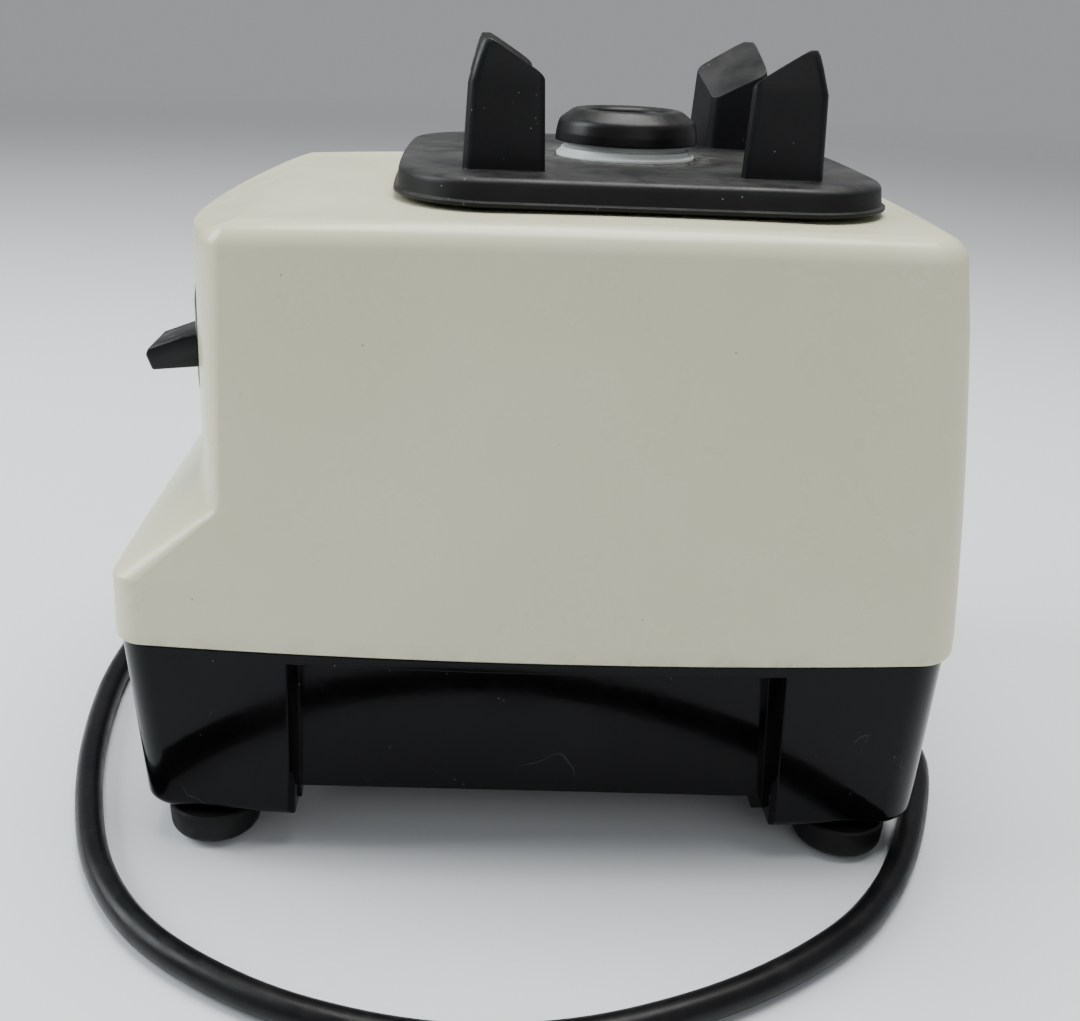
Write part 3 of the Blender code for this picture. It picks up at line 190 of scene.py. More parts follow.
class Nodes:
    """A material's node tree with short calls to add and link nodes."""

    def __init__(self, name):
        self.material = bpy.data.materials.new(name)
        self.material.use_nodes = True
        self.tree = self.material.node_tree
        self.shader = self.tree.nodes["Principled BSDF"]
        coordinates = self.tree.nodes.new("ShaderNodeTexCoord")
        self.place = coordinates.outputs["Object"]

    def add(self, kind, **settings):
        node = self.tree.nodes.new(kind)
        for key, value in settings.items():
            setattr(node, key, value)
        return node

    def link(self, source, target):
        self.tree.links.new(source, target)

    def fill(self, node, **values):
        """Sets a node's inputs by name, with _ for a space."""
        for key, value in values.items():
            node.inputs[key.replace("_", " ")].default_value = value

    def mapping(self, scale=(1, 1, 1), rotation=(0, 0, 0)):
        node = self.add("ShaderNodeMapping")
        self.fill(node, Scale=scale, Rotation=rotation)
        self.link(self.place, node.inputs["Vector"])
        return node.outputs["Vector"]

    def noise(self, scale, detail=4.0, roughness=0.55, vector=None, distortion=0.0):
        node = self.add("ShaderNodeTexNoise")
        self.fill(node, Scale=scale, Detail=detail, Roughness=roughness, Distortion=distortion)
        self.link(vector or self.place, node.inputs["Vector"])
        return node.outputs["Fac"]

    def cells(self, scale):
        """Distance to the nearest of many scattered points."""
        node = self.add("ShaderNodeTexVoronoi")
        self.fill(node, Scale=scale)
        self.link(self.place, node.inputs["Vector"])
        return node.outputs["Distance"]

    def wave(self, scale, direction="Z", distortion=0.0):
        node = self.add("ShaderNodeTexWave", bands_direction=direction)
        self.fill(node, Scale=scale, Distortion=distortion)
        self.link(self.place, node.inputs["Vector"])
        return node.outputs["Fac"]

    def steps(self, value, low, high, start=0.0, end=1.0):
        """Maps a value from the range low..high to start..end, held at both ends."""
        node = self.add("ShaderNodeMapRange", interpolation_type="SMOOTHSTEP")
        self.link(value, node.inputs["Value"])
        self.fill(node, From_Min=low, From_Max=high, To_Min=start, To_Max=end)
        return node.outputs["Result"]

    def cloudy(self, scale, detail, low, high, start=0.0, end=1.0, grain=0.55):
        """Soft patches that go from start to end."""
        return self.steps(self.noise(scale, detail, grain), low, high, start, end)

    def math(self, operation, first, second):
        node = self.add("ShaderNodeMath", operation=operation)
        for socket, value in zip(node.inputs, (first, second)):
            if isinstance(value, (int, float)):
                socket.default_value = value
            else:
                self.link(value, socket)
        return node.outputs["Value"]

    def mix(self, factor, first, second):
        node = self.add("ShaderNodeMix", data_type="RGBA")
        self.link(factor, node.inputs["Factor"])
        for socket, value in zip((node.inputs[6], node.inputs[7]), (first, second)):
            if isinstance(value, tuple):
                socket.default_value = (*value, 1.0)
            else:
                self.link(value, socket)
        return node.outputs[2]

    def tint(self, colour, mask, amount, other):
        """The colour with up to a given share of another one where the mask is 1."""
        return self.mix(self.math("MULTIPLY", mask, amount), colour, other)

    def axis(self, name):
        node = self.add("ShaderNodeSeparateXYZ")
        self.link(self.place, node.inputs["Vector"])
        return node.outputs[name]

    def distance_from(self, point):
        """Distance from an upright line through a point."""
        offset = self.add("ShaderNodeVectorMath", operation="SUBTRACT")
        self.link(self.place, offset.inputs[0])
        offset.inputs[1].default_value = point
        flattened = self.add("ShaderNodeVectorMath", operation="MULTIPLY")
        self.link(offset.outputs["Vector"], flattened.inputs[0])
        flattened.inputs[1].default_value = (1, 1, 0)
        length = self.add("ShaderNodeVectorMath", operation="LENGTH")
        self.link(flattened.outputs["Vector"], length.inputs[0])
        return length.outputs["Value"]

    def upward(self):
        """1 where the surface faces up, 0 where it is upright or faces down."""
        geometry = self.add("ShaderNodeNewGeometry")
        parts = self.add("ShaderNodeSeparateXYZ")
        self.link(geometry.outputs["Normal"], parts.inputs["Vector"])
        return self.steps(parts.outputs["Z"], 0.35, 0.95)

    def finish(self, colour, roughness, heights=(), edge=0.0, **values):
        """Connects the shader. heights are (height, depth in metres) pairs, and edge rounds sharp edges."""
        for key, value in (("Base Color", colour), ("Roughness", roughness)):
            if isinstance(value, (int, float)):
                self.shader.inputs[key].default_value = value
            else:
                self.link(value, self.shader.inputs[key])
        self.fill(self.shader, **values)
        normal = None
        if edge:
            bevel = self.add("ShaderNodeBevel", samples=6)
            self.fill(bevel, Radius=edge)
            normal = bevel.outputs["Normal"]
        for height, depth in heights:
            bump = self.add("ShaderNodeBump")
            self.fill(bump, Strength=1.0, Distance=depth)
            self.link(height, bump.inputs["Height"])
            if normal is not None:
                self.link(normal, bump.inputs["Normal"])
            normal = bump.outputs["Normal"]
        if normal is not None:
            self.link(normal, self.shader.inputs["Normal"])
        return self.material


def scratches(nodes, scale, turn, width, keep):
    """Thin straight marks in one direction: 1 on a mark. keep is the share of places that have them."""
    vector = nodes.mapping((scale, scale * 0.06, scale * 0.06), turn)
    lines = nodes.noise(1.0, 2.0, 0.5, vector, 0.3)
    ridge = nodes.math("ABSOLUTE", nodes.math("SUBTRACT", lines, 0.5), 0.0)
    thin = nodes.steps(ridge, 0.0, width, 1.0, 0.0)
    where = nodes.cloudy(26.0, 2.0, 1.0 - keep, 1.0 - keep + 0.08)
    return nodes.math("MULTIPLY", thin, where)


def specks(nodes, scale, size, keep):
    """Small round spots: 1 on a spot, thinned out by a second noise."""
    dots = nodes.steps(nodes.cells(scale), size, size * 1.5, 1.0, 0.0)
    where = nodes.cloudy(scale * 0.37, 1.0, 1.0 - keep, 1.02 - keep)
    return nodes.math("MULTIPLY", dots, where)


def cream_material():
    n = Nodes("Cream plastic")
    cloud = n.cloudy(9.0, 3.0, 0.35, 0.70)
    colour = n.mix(cloud, (0.612, 0.604, 0.430), (0.652, 0.642, 0.466))
    rubbed = n.steps(n.noise(14.0, 5.0, 0.65, n.mapping((1, 0.7, 2.2), (0.5, 0, 0)), 0.8), 0.60, 0.78)
    colour = n.tint(colour, rubbed, 0.30, (0.70, 0.69, 0.56))
    for turn, scale in (((0.65, 0.2, 0.1), 620.0), ((-0.35, 0.1, 0.9), 540.0)):
        marks = scratches(n, scale, turn, 0.010, 0.36)
        colour = n.tint(colour, marks, 0.35, (0.76, 0.75, 0.68))
    nicks = specks(n, 150.0, 0.030, 0.38)
    colour = n.tint(colour, nicks, 0.75, (0.16, 0.14, 0.10))
    # Darker in patches over the lowest 6 mm of the housing, along its join with the base.
    low = n.steps(n.axis("Z"), HOUSING_BOTTOM, HOUSING_BOTTOM + 0.006, 1.0, 0.0)
    bottom_darkening = n.math("MULTIPLY", low, n.cloudy(120.0, 4.0, 0.42, 0.75))
    colour = n.tint(colour, bottom_darkening, 0.45, (0.33, 0.31, 0.25))
    rough = n.cloudy(22.0, 5.0, 0.30, 0.75, 0.24, 0.36, grain=0.6)
    rough = n.math("ADD", rough, n.math("MULTIPLY", rubbed, 0.10))
    peel = n.noise(420.0, 2.0)
    return n.finish(colour, rough, [(peel, 0.00002), (nicks, -0.00006)], Specular_IOR_Level=0.5)


def gloss_black_material():
    n = Nodes("Gloss black plastic")
    colour = n.mix(n.cloudy(30.0, 4.0, 0.35, 0.75), (0.0016, 0.0016, 0.0019), (0.0034, 0.0034, 0.0038))
    dust = specks(n, 420.0, 0.055, 0.40)
    colour = n.tint(colour, dust, 0.55, (0.25, 0.25, 0.24))
    marks = scratches(n, 700.0, (0.9, 0.3, 0.2), 0.012, 0.40)
    colour = n.tint(colour, marks, 0.20, (0.16, 0.16, 0.16))
    rough = n.cloudy(40.0, 5.0, 0.30, 0.80, 0.07, 0.17, grain=0.65)
    rough = n.math("ADD", rough, n.math("MULTIPLY", marks, 0.25))
    return n.finish(colour, rough, [(n.noise(300.0, 2.0), 0.000012)], edge=0.0007, Specular_IOR_Level=0.12)


def satin_black_material(name="Satin black plastic", tone=0.0045, dustiness=0.25, roughness=(0.30, 0.46)):
    n = Nodes(name)
    paler = (tone * 1.7, tone * 1.7, tone * 1.75)
    colour = n.mix(n.cloudy(45.0, 4.0, 0.35, 0.75), (tone, tone, tone), paler)
    dust = n.math("MULTIPLY", n.upward(), n.cloudy(180.0, 5.0, 0.42, 0.80, grain=0.7))
    colour = n.tint(colour, dust, dustiness, (0.24, 0.24, 0.22))
    flecks = specks(n, 520.0, 0.060, 0.36)
    colour = n.tint(colour, flecks, 0.4, (0.30, 0.30, 0.28))
    rough = n.cloudy(70.0, 5.0, 0.30, 0.75, *roughness, grain=0.6)
    return n.finish(colour, rough, [(n.noise(900.0, 2.0), 0.000025)], edge=0.0005, Specular_IOR_Level=0.22)


def pad_material():
    """Black moulded rubber: dusty where it faces up, rubbed in rings round the nut."""
    n = Nodes("Pad rubber")
    colour = n.mix(n.cloudy(40.0, 4.0, 0.30, 0.75), (0.0038, 0.0040, 0.0046), (0.0075, 0.0078, 0.0086))
    facing_up = n.upward()
    film = n.steps(n.noise(60.0, 6.0, 0.7, None, 0.6), 0.30, 0.72)
    colour = n.tint(colour, n.math("MULTIPLY", facing_up, film), 0.22, (0.16, 0.16, 0.15))
    reach = n.distance_from((0.0, AXIS_Y, 0.0))
    near_nut = n.steps(reach, 0.0215, 0.0310, 1.0, 0.0)
    worn = n.math("MULTIPLY", near_nut, n.steps(n.noise(330.0, 5.0, 0.75, None, 1.2), 0.44, 0.66))
    colour = n.tint(colour, n.math("MULTIPLY", worn, facing_up), 0.55, (0.21, 0.20, 0.18))
    crumbs = specks(n, 460.0, 0.075, 0.42)
    colour = n.tint(colour, crumbs, 0.5, (0.34, 0.33, 0.30))
    high = n.steps(n.axis("Z"), 0.2030, 0.2150)
    rough = n.cloudy(55.0, 5.0, 0.30, 0.75, 0.34, 0.52, grain=0.65)
    rough = n.math("SUBTRACT", rough, n.math("MULTIPLY", high, 0.06))
    grain = n.noise(1300.0, 3.0)
    return n.finish(colour, rough, [(grain, 0.00003), (worn, 0.00012)], edge=0.0004, Specular_IOR_Level=0.22)


def rubber_material():
    n = Nodes("Foot rubber")
    colour = n.mix(n.cloudy(90.0, 5.0, 0.35, 0.75), (0.0045, 0.0045, 0.0045), (0.010, 0.0098, 0.0095))
    low = n.steps(n.axis("Z"), 0.0002, 0.0035, 1.0, 0.0)
    colour = n.tint(colour, low, 0.35, (0.10, 0.098, 0.09))
    rough = n.cloudy(150.0, 5.0, 0.30, 0.75, 0.42, 0.66)
    return n.finish(colour, rough, [(n.noise(900.0, 3.0), 0.00004)], Specular_IOR_Level=0.2)


def cord_material():
    n = Nodes("Cord jacket")
    colour = n.mix(n.cloudy(70.0, 5.0, 0.35, 0.75), (0.0036, 0.0037, 0.0042), (0.0070, 0.0071, 0.0076))
    dust = n.math("MULTIPLY", n.upward(), n.cloudy(240.0, 6.0, 0.46, 0.80, grain=0.7))
    colour = n.tint(colour, dust, 0.06, (0.12, 0.12, 0.12))
    rough = n.cloudy(110.0, 5.0, 0.30, 0.75, 0.30, 0.44)
    bumps = [(n.noise(700.0, 2.0), 0.00003), (n.noise(60.0, 1.0), 0.00012)]
    return n.finish(colour, rough, bumps, Specular_IOR_Level=0.20)


def white_material():
    n = Nodes("White washer")
    stain = n.cloudy(160.0, 5.0, 0.48, 0.75, grain=0.7)
    colour = n.tint((0.74, 0.79, 0.77), stain, 0.35, (0.48, 0.49, 0.44))
    return n.finish(colour, n.cloudy(200.0, 3.0, 0.3, 0.7, 0.26, 0.40), [(n.noise(500.0, 2.0), 0.00003)])


def metal_material(name, tone, roughness, brush=(1, 1, 30), depth=0.00001, wear=0.15):
    n = Nodes(name)
    grain = n.noise(60.0, 4.0, 0.6, n.mapping(brush))
    darker = tuple(channel * 0.72 for channel in tone)
    colour = n.mix(grain, darker, tone)
    spots = n.cloudy(90.0, 5.0, 0.55, 0.80, grain=0.7)
    colour = n.tint(colour, spots, wear, tuple(channel * 0.35 for channel in tone))
    rough = n.steps(grain, 0.30, 0.75, roughness, roughness + 0.16)
    return n.finish(colour, rough, [(grain, depth)], edge=0.0003, Metallic=1.0)


def laminated_material():
    n = Nodes("Steel laminations")
    sheets = n.wave(320.0, "Z")
    colour = n.mix(sheets, (0.10, 0.10, 0.105), (0.34, 0.34, 0.35))
    rust = n.cloudy(70.0, 5.0, 0.55, 0.8, grain=0.7)
    colour = n.tint(colour, rust, 0.30, (0.20, 0.11, 0.06))
    rough = n.cloudy(90.0, 4.0, 0.3, 0.7, 0.36, 0.52)
    return n.finish(colour, rough, [(sheets, 0.00012)], Metallic=0.9)


def winding_material():
    n = Nodes("Lacquered copper winding")
    strands = n.wave(420.0, "DIAGONAL", 1.5)
    colour = n.mix(strands, (0.20, 0.065, 0.025), (0.62, 0.27, 0.12))
    rough = n.cloudy(120.0, 4.0, 0.3, 0.7, 0.24, 0.40)
    return n.finish(colour, rough, [(strands, 0.00025)], Metallic=0.85)


def commutator_material():
    n = Nodes("Commutator copper")
    stripes = n.wave(60.0, "X", 0.4)
    colour = n.mix(stripes, (0.42, 0.17, 0.08), (0.72, 0.36, 0.20))
    return n.finish(colour, n.cloudy(220.0, 3.0, 0.3, 0.7, 0.2, 0.38), [(stripes, 0.00006)], Metallic=1.0)


def carbon_material():
    n = Nodes("Pressed carbon")
    colour = n.mix(n.noise(300.0, 4.0), (0.012, 0.012, 0.013), (0.035, 0.035, 0.037))
    return n.finish(colour, n.cloudy(200.0, 3.0, 0.3, 0.7, 0.45, 0.62), [(n.noise(1100.0, 3.0), 0.00005)])


def panel_material():
    """Brushed dark panel film."""
    n = Nodes("Panel film")
    grain = n.noise(50.0, 3.0, 0.6, n.mapping((1, 1, 40)))
    colour = n.mix(grain, (0.011, 0.011, 0.012), (0.022, 0.022, 0.024))
    marks = scratches(n, 600.0, (0.2, 0.4, 0.9), 0.012, 0.35)
    colour = n.tint(colour, marks, 0.25, (0.2, 0.2, 0.2))
    return n.finish(colour, n.steps(grain, 0.3, 0.7, 0.26, 0.38), [(grain, 0.00001)], edge=0.0005)


CREAM = cream_material()
GLOSS_BLACK = gloss_black_material()
SATIN_BLACK = satin_black_material()
NUT_BLACK = satin_black_material("Nut black", 0.0055, 0.10, (0.30, 0.42))
PAD_RUBBER = pad_material()
FOOT_RUBBER = rubber_material()
CORD_JACKET = cord_material()
WHITE_WASHER = white_material()
STEEL = metal_material("Machined steel", (0.56, 0.57, 0.58), 0.22)
CAST = metal_material("Cast aluminium", (0.60, 0.61, 0.62), 0.36, (1, 1, 1), 0.00012, 0.25)
BRASS = metal_material("Plain brass", (0.74, 0.58, 0.30), 0.24)
LAMINATED = laminated_material()
WINDING = winding_material()
COMMUTATOR = commutator_material()
CARBON = carbon_material()
PANEL_FILM = panel_material()


# ---------------------------------------------------------------- mesh helpers


def add_object(name, mesh, material):
    obj = bpy.data.objects.new(name, mesh)
    bpy.context.scene.collection.objects.link(obj)
    obj.location = SHIFT
    if material is not None:
        mesh.materials.append(material)
    return obj


def finish_mesh(name, bm, smooth=True, angle=35):
    bmesh.ops.recalc_face_normals(bm, faces=bm.faces[:])
    mesh = bpy.data.meshes.new(name)
    bm.to_mesh(mesh)
    bm.free()
    if smooth:
        mesh.shade_smooth()
        mesh.set_sharp_from_angle(angle=math.radians(angle))
    return mesh


def bridge_rows(bm, lower, upper, count):
    for step in range(count):
        after = (step + 1) % count
        if len(lower) == 1:
            bm.faces.new((lower[0], upper[after], upper[step]))
        elif len(upper) == 1:
            bm.faces.new((lower[step], lower[after], upper[0]))
        else:
            bm.faces.new((lower[step], lower[after], upper[after], upper[step]))


def loft(name, rings, material, smooth=True, angle=35):
    """A closed solid through rings of as many points each. A single point as the last ring is a peak."""
    bm = bmesh.new()
    rows = [[bm.verts.new(point) for point in ring] for ring in rings]
    for lower, upper in zip(rows, rows[1:]):
        bridge_rows(bm, lower, upper, len(lower))
    bm.faces.new(rows[0])
    if len(rows[-1]) > 1:
        bm.faces.new(rows[-1])
    return add_object(name, finish_mesh(name, bm, smooth, angle), material)


def turned(name, profile, material, segments=96, centre=(0.0, AXIS_Y), matrix=None, angle=35):
    """A solid of revolution about a vertical line, from (radius, height) points."""
    bm = bmesh.new()
    rows = []
    for radius, height in profile:
        if radius == 0.0:
            rows.append([bm.verts.new((0.0, 0.0, height))])
            continue
        angles = [2 * math.pi * (step + 0.5) / segments for step in range(segments)]
        rows.append([bm.verts.new((radius * math.cos(a), radius * math.sin(a), height)) for a in angles])
    is_solid = profile[0][0] == 0.0
    pairs = list(zip(rows, rows[1:])) if is_solid else list(zip(rows, rows[1:] + rows[:1]))
    for lower, upper in pairs:
        bridge_rows(bm, lower, upper, segments)
    bmesh.ops.transform(bm, matrix=matrix or Matrix.Translation((*centre, 0.0)), verts=bm.verts[:])
    return add_object(name, finish_mesh(name, bm, True, angle), material)


def rod(name, start, end, radius, segments=48):
    start, end = Vector(start), Vector(end)
    turn = (end - start).to_track_quat("Z", "Y").to_matrix().to_4x4()
    profile = [(0.0, 0.0), (radius, 0.0), (radius, (end - start).length), (0.0, (end - start).length)]
    return turned(name, profile, None, segments, matrix=Matrix.Translation(start) @ turn)


def block(name, low, high):
    bm = bmesh.new()
    bmesh.ops.create_cube(bm, size=1.0)
    size = Vector(high) - Vector(low)
    bmesh.ops.scale(bm, vec=size, verts=bm.verts[:])
    bmesh.ops.translate(bm, vec=(Vector(low) + Vector(high)) / 2, verts=bm.verts[:])
    return add_object(name, finish_mesh(name, bm, smooth=False), None)


def prism(name, outline, low, high, axis="Z"):
    place = {
        "X": lambda u, v, w: (w, u, v),
        "Y": lambda u, v, w: (u, w, v),
        "Z": lambda u, v, w: (u, v, w),
    }[axis]
    return loft(name, [[place(u, v, w) for u, v in outline] for w in (low, high)], None, smooth=False)


def apply_modifiers(obj):
    """Replaces the object's mesh with its evaluated one and drops the modifiers."""
    graph = bpy.context.evaluated_depsgraph_get()
    mesh = bpy.data.meshes.new_from_object(obj.evaluated_get(graph))
    old = obj.data
    obj.modifiers.clear()
    obj.data = mesh
    bpy.data.meshes.remove(old)


def combine(target, operation, others):
    for other in others:
        modifier = target.modifiers.new(operation, "BOOLEAN")
        modifier.operation = operation
        modifier.object = other
        modifier.solver = "EXACT"
    bpy.context.view_layer.update()
    apply_modifiers(target)
    for other in others:
        bpy.data.objects.remove(other, do_unlink=True)


def soften(obj, width, segments=3, angle=40):
    """Rounds the sharp edges of a finished mesh."""
    modifier = obj.modifiers.new("Soft edges", "BEVEL")
    modifier.width = width
    modifier.segments = segments
    modifier.limit_method = "ANGLE"
    modifier.angle_limit = math.radians(angle)
    modifier.harden_normals = False
    modifier.use_clamp_overlap = True
    bpy.context.view_layer.update()
    apply_modifiers(obj)


def shade(obj, angle=35, weighted=False):
    obj.data.shade_smooth()
    obj.data.set_sharp_from_angle(angle=math.radians(angle))
    if weighted:
        modifier = obj.modifiers.new("Face weighting", "WEIGHTED_NORMAL")
        modifier.keep_sharp = True


def arc(centre, radius, start, end, steps):
    """Points round a centre, from one angle in degrees to another."""
    points = []
    for step in range(steps + 1):
        angle = math.radians(start + (end - start) * step / steps)
        points.append((centre[0] + radius * math.cos(angle), centre[1] + radius * math.sin(angle)))
    return points


def fillet(points, radii, steps=6):
    """A polyline with its inner corners rounded. There is a radius for each inner corner."""
    result = [points[0]]
    for before, corner, after, radius in zip(points, points[1:], points[2:], radii):
        corner_at = Vector(corner)
        to_before = (Vector(before) - corner_at).normalized()
        to_after = (Vector(after) - corner_at).normalized()
        half = to_before.angle(to_after) / 2
        reach = radius / math.tan(half)
        start = corner_at + to_before * reach
        end = corner_at + to_after * reach
        centre = corner_at + (to_before + to_after).normalized() * radius / math.sin(half)
        first = math.atan2(start.y - centre.y, start.x - centre.x)
        sweep = math.remainder(math.atan2(end.y - centre.y, end.x - centre.x) - first, 2 * math.pi)
        result += arc(centre, radius, math.degrees(first), math.degrees(first + sweep), steps)
    result.append(points[-1])
    return result


def put(piece, body, slot_name, *replaced):
    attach(piece, body)
    if replaced:
        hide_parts(*replaced)
    return piece


# ---------------------------------------------------------------- outlines


def rounded_rectangle(half_width, front, rear, radius, front_radius=None, side_steps=24, corner_steps=14):
    other = front_radius or radius
    corners = [
        (half_width - radius, rear - radius, radius, 0),
        (radius - half_width, rear - radius, radius, 90),
        (other - half_width, front + other, other, 180),
        (half_width - other, front + other, other, 270),
    ]
    points = []
    for index, (x, y, reach, start) in enumerate(corners):
        points += arc((x, y), reach, start, start + 90, corner_steps)
        after_x, after_y, after_reach, after_start = corners[(index + 1) % 4]
        angle = math.radians(after_start)
        target = (after_x + after_reach * math.cos(angle), after_y + after_reach * math.sin(angle))
        last = points[-1]
        for step in range(1, side_steps):
            share = step / side_steps
            points.append((last[0] + (target[0] - last[0]) * share, last[1] + (target[1] - last[1]) * share))
    return points


def bowed(points, half_width, front, rear, side_bow, front_bow, rear_bow):
    middle = (front + rear) / 2
    half_depth = (rear - front) / 2
    result = []
    for x, y in points:
        along = (y - middle) / half_depth
        across = x / half_width
        x_out = x + math.copysign(side_bow * (1 - along**2) * abs(across) ** 4, x)
        bow = front_bow if along < 0 else rear_bow
        y_out = y - math.copysign(bow * across**2 * along**4, y - middle)
        result.append((x_out, y_out))
    return result


def front_profile():
    """(height, y) of the housing's front at mid width, with the toe's edge and the hollow rounded."""
    line = [(0.0, TOE_FRONT), (TOE_TOP, TOE_FRONT), (LEDGE_TOP, FACE_FRONT), (0.3, FACE_FRONT)]
    return fillet(line, (0.0016, 0.0085), 8)


FRONT_PROFILE = front_profile()


def interpolate(table, value):
    for (low, start), (high, end) in zip(table, table[1:]):
        if value <= high:
            return start + (end - start) * (value - low) / max(high - low, 1e-9)
    return table[-1][1]


def front_shape(height):
    """(bow, corner radius) of the housing's front at a height."""
    at = min(max(height, FRONT_SHAPE[0][0]), FRONT_SHAPE[-1][0])
    bow = interpolate([(level, bow) for level, bow, _ in FRONT_SHAPE], at)
    return bow, interpolate([(level, radius) for level, _, radius in FRONT_SHAPE], at)


def housing_outline(height, inset):
    half_width = HOUSING_HALF_WIDTH - (height - HOUSING_BOTTOM) * SIDE_DRAFT - inset
    rise = max(0.0, height - REAR_DRAFT_START)
    rear = REAR - REAR_DRAFT * rise - REAR_CURVE * rise**2 - inset
    front = interpolate(FRONT_PROFILE, height) + inset
    front_bow, front_radius = front_shape(height)
    radii = [max(radius - inset, 0.004) for radius in (CORNER_RADIUS, front_radius)]
    points = rounded_rectangle(half_width, front, rear, *radii)
    return bowed(points, half_width, front, rear, SIDE_BOW, front_bow, REAR_BOW)


def crown(x, y, drop):
    return CROWN_TOP - drop - CROWN_ACROSS * x**2 - CROWN_ALONG * (y - AXIS_Y) ** 2


def housing_solid(name, inset, drop, material=None):
    rings = []
    if inset == 0.0:
        for angle in range(0, 90, 18):
            rounding = BOTTOM_EDGE_RADIUS * (1 - math.sin(math.radians(angle)))
            height = HOUSING_BOTTOM + BOTTOM_EDGE_RADIUS * (1 - math.cos(math.radians(angle)))
            rings.append([(x, y, height) for x, y in housing_outline(height, rounding)])
        start = HOUSING_BOTTOM + BOTTOM_EDGE_RADIUS
    else:
        start = HOUSING_BOTTOM - 0.010
    shoulder = CROWN_TOP - drop - TOP_EDGE_RADIUS
    heights = [start, REAR_DRAFT_START, 0.078] + [height for height, _ in FRONT_PROFILE[1:-1]]
    heights += [0.118, 0.126, 0.136, 0.146, 0.156]
    rings += [[(x, y, height) for x, y in housing_outline(height, inset)] for height in sorted(heights)]
    for angle in range(0, 91, 9):
        rounding = TOP_EDGE_RADIUS * (1 - math.cos(math.radians(angle)))
        fall = TOP_EDGE_RADIUS * (1 - math.sin(math.radians(angle)))
        outline = housing_outline(shoulder, inset + rounding)
        rings.append([(x, y, crown(x, y, drop) - fall) for x, y in outline])
    for share in (0.93, 0.8, 0.65, 0.5, 0.35, 0.2):
        shrunk = [(x * share, AXIS_Y + (y - AXIS_Y) * share) for x, y in outline]
        rings.append([(x, y, crown(x, y, drop)) for x, y in shrunk])
    rings.append([(0.0, AXIS_Y, crown(0.0, AXIS_Y, drop))])
    return loft(name, rings, material)


def brow_cutter(name, drop):
    near, far = -0.150, -0.060
    line = [(y, BROW_BACK_HEIGHT - drop + (y - BROW_BACK) * BROW_SLOPE) for y in (near, far)]
    return prism(name, line + [(far, 0.200), (near, 0.200)], -0.120, 0.120, axis="X")


def make_housing():
    skin = housing_solid("housing_skin", 0.0, 0.0, CREAM)
    combine(skin, "DIFFERENCE", [brow_cutter("brow_outside", 0.0)])
    soften(skin, 0.0007, 2, 13)
    inside = housing_solid("housing_inside", HOUSING_WALL, HOUSING_WALL)
    combine(inside, "DIFFERENCE", [brow_cutter("brow_inside", HOUSING_WALL * 1.06)])
    neck = rod("neck_hole", (0, AXIS_Y, 0.165), (0, AXIS_Y, 0.190), NECK_RADIUS + GAP)
    opening = block("panel_opening", (-PANEL_HALF, -0.115, PANEL_BOTTOM), (PANEL_HALF, -0.083, PANEL_TOP))
    combine(skin, "DIFFERENCE", [inside, neck, opening])
    shade(skin, 30, weighted=True)
    put(skin, "base", "cream_plastic", "housing_shell")


def base_outline(height, inset):
    taper = (BASE_TOP - height) * BASE_TAPER
    half_width = BASE_HALF_WIDTH - taper - inset
    front = BASE_FRONT + (BASE_TOP - height) * BASE_FRONT_TAPER + inset
    rear = BASE_REAR - inset
    front_bow, front_radius = front_shape(height)
    points = rounded_rectangle(half_width, front, rear, CORNER_RADIUS, front_radius)
    return bowed(points, half_width, front, rear, SIDE_BOW, front_bow, REAR_BOW)


def side_recess(name, sign):
    rings = []
    for height in (-0.005, RECESS_TOP):
        depth = RECESS_TOP - height
        face = BASE_HALF_WIDTH + SIDE_BOW - (BASE_TOP - height) * BASE_TAPER
        lean, width, growth = FRONT_RECESS_SIDE
        front = SIDE_RECESS_FRONT - lean * depth
        front_edge = front - width - growth * depth
        lean, width, growth = REAR_RECESS_SIDE
        rear = SIDE_RECESS_REAR + lean * depth
        rear_edge = rear + width + growth * depth
        plan = [(SIDE_RECESS_X, front), (face - 0.0045, front), (face + 0.0005, front_edge)]
        plan += [(0.120, front_edge), (0.120, rear_edge)]
        plan += [(face + 0.0005, rear_edge), (face - 0.0045, rear), (SIDE_RECESS_X, rear)]
        rings.append([(sign * x, y, height) for x, y in plan])
    return loft(name, rings, None, smooth=False)


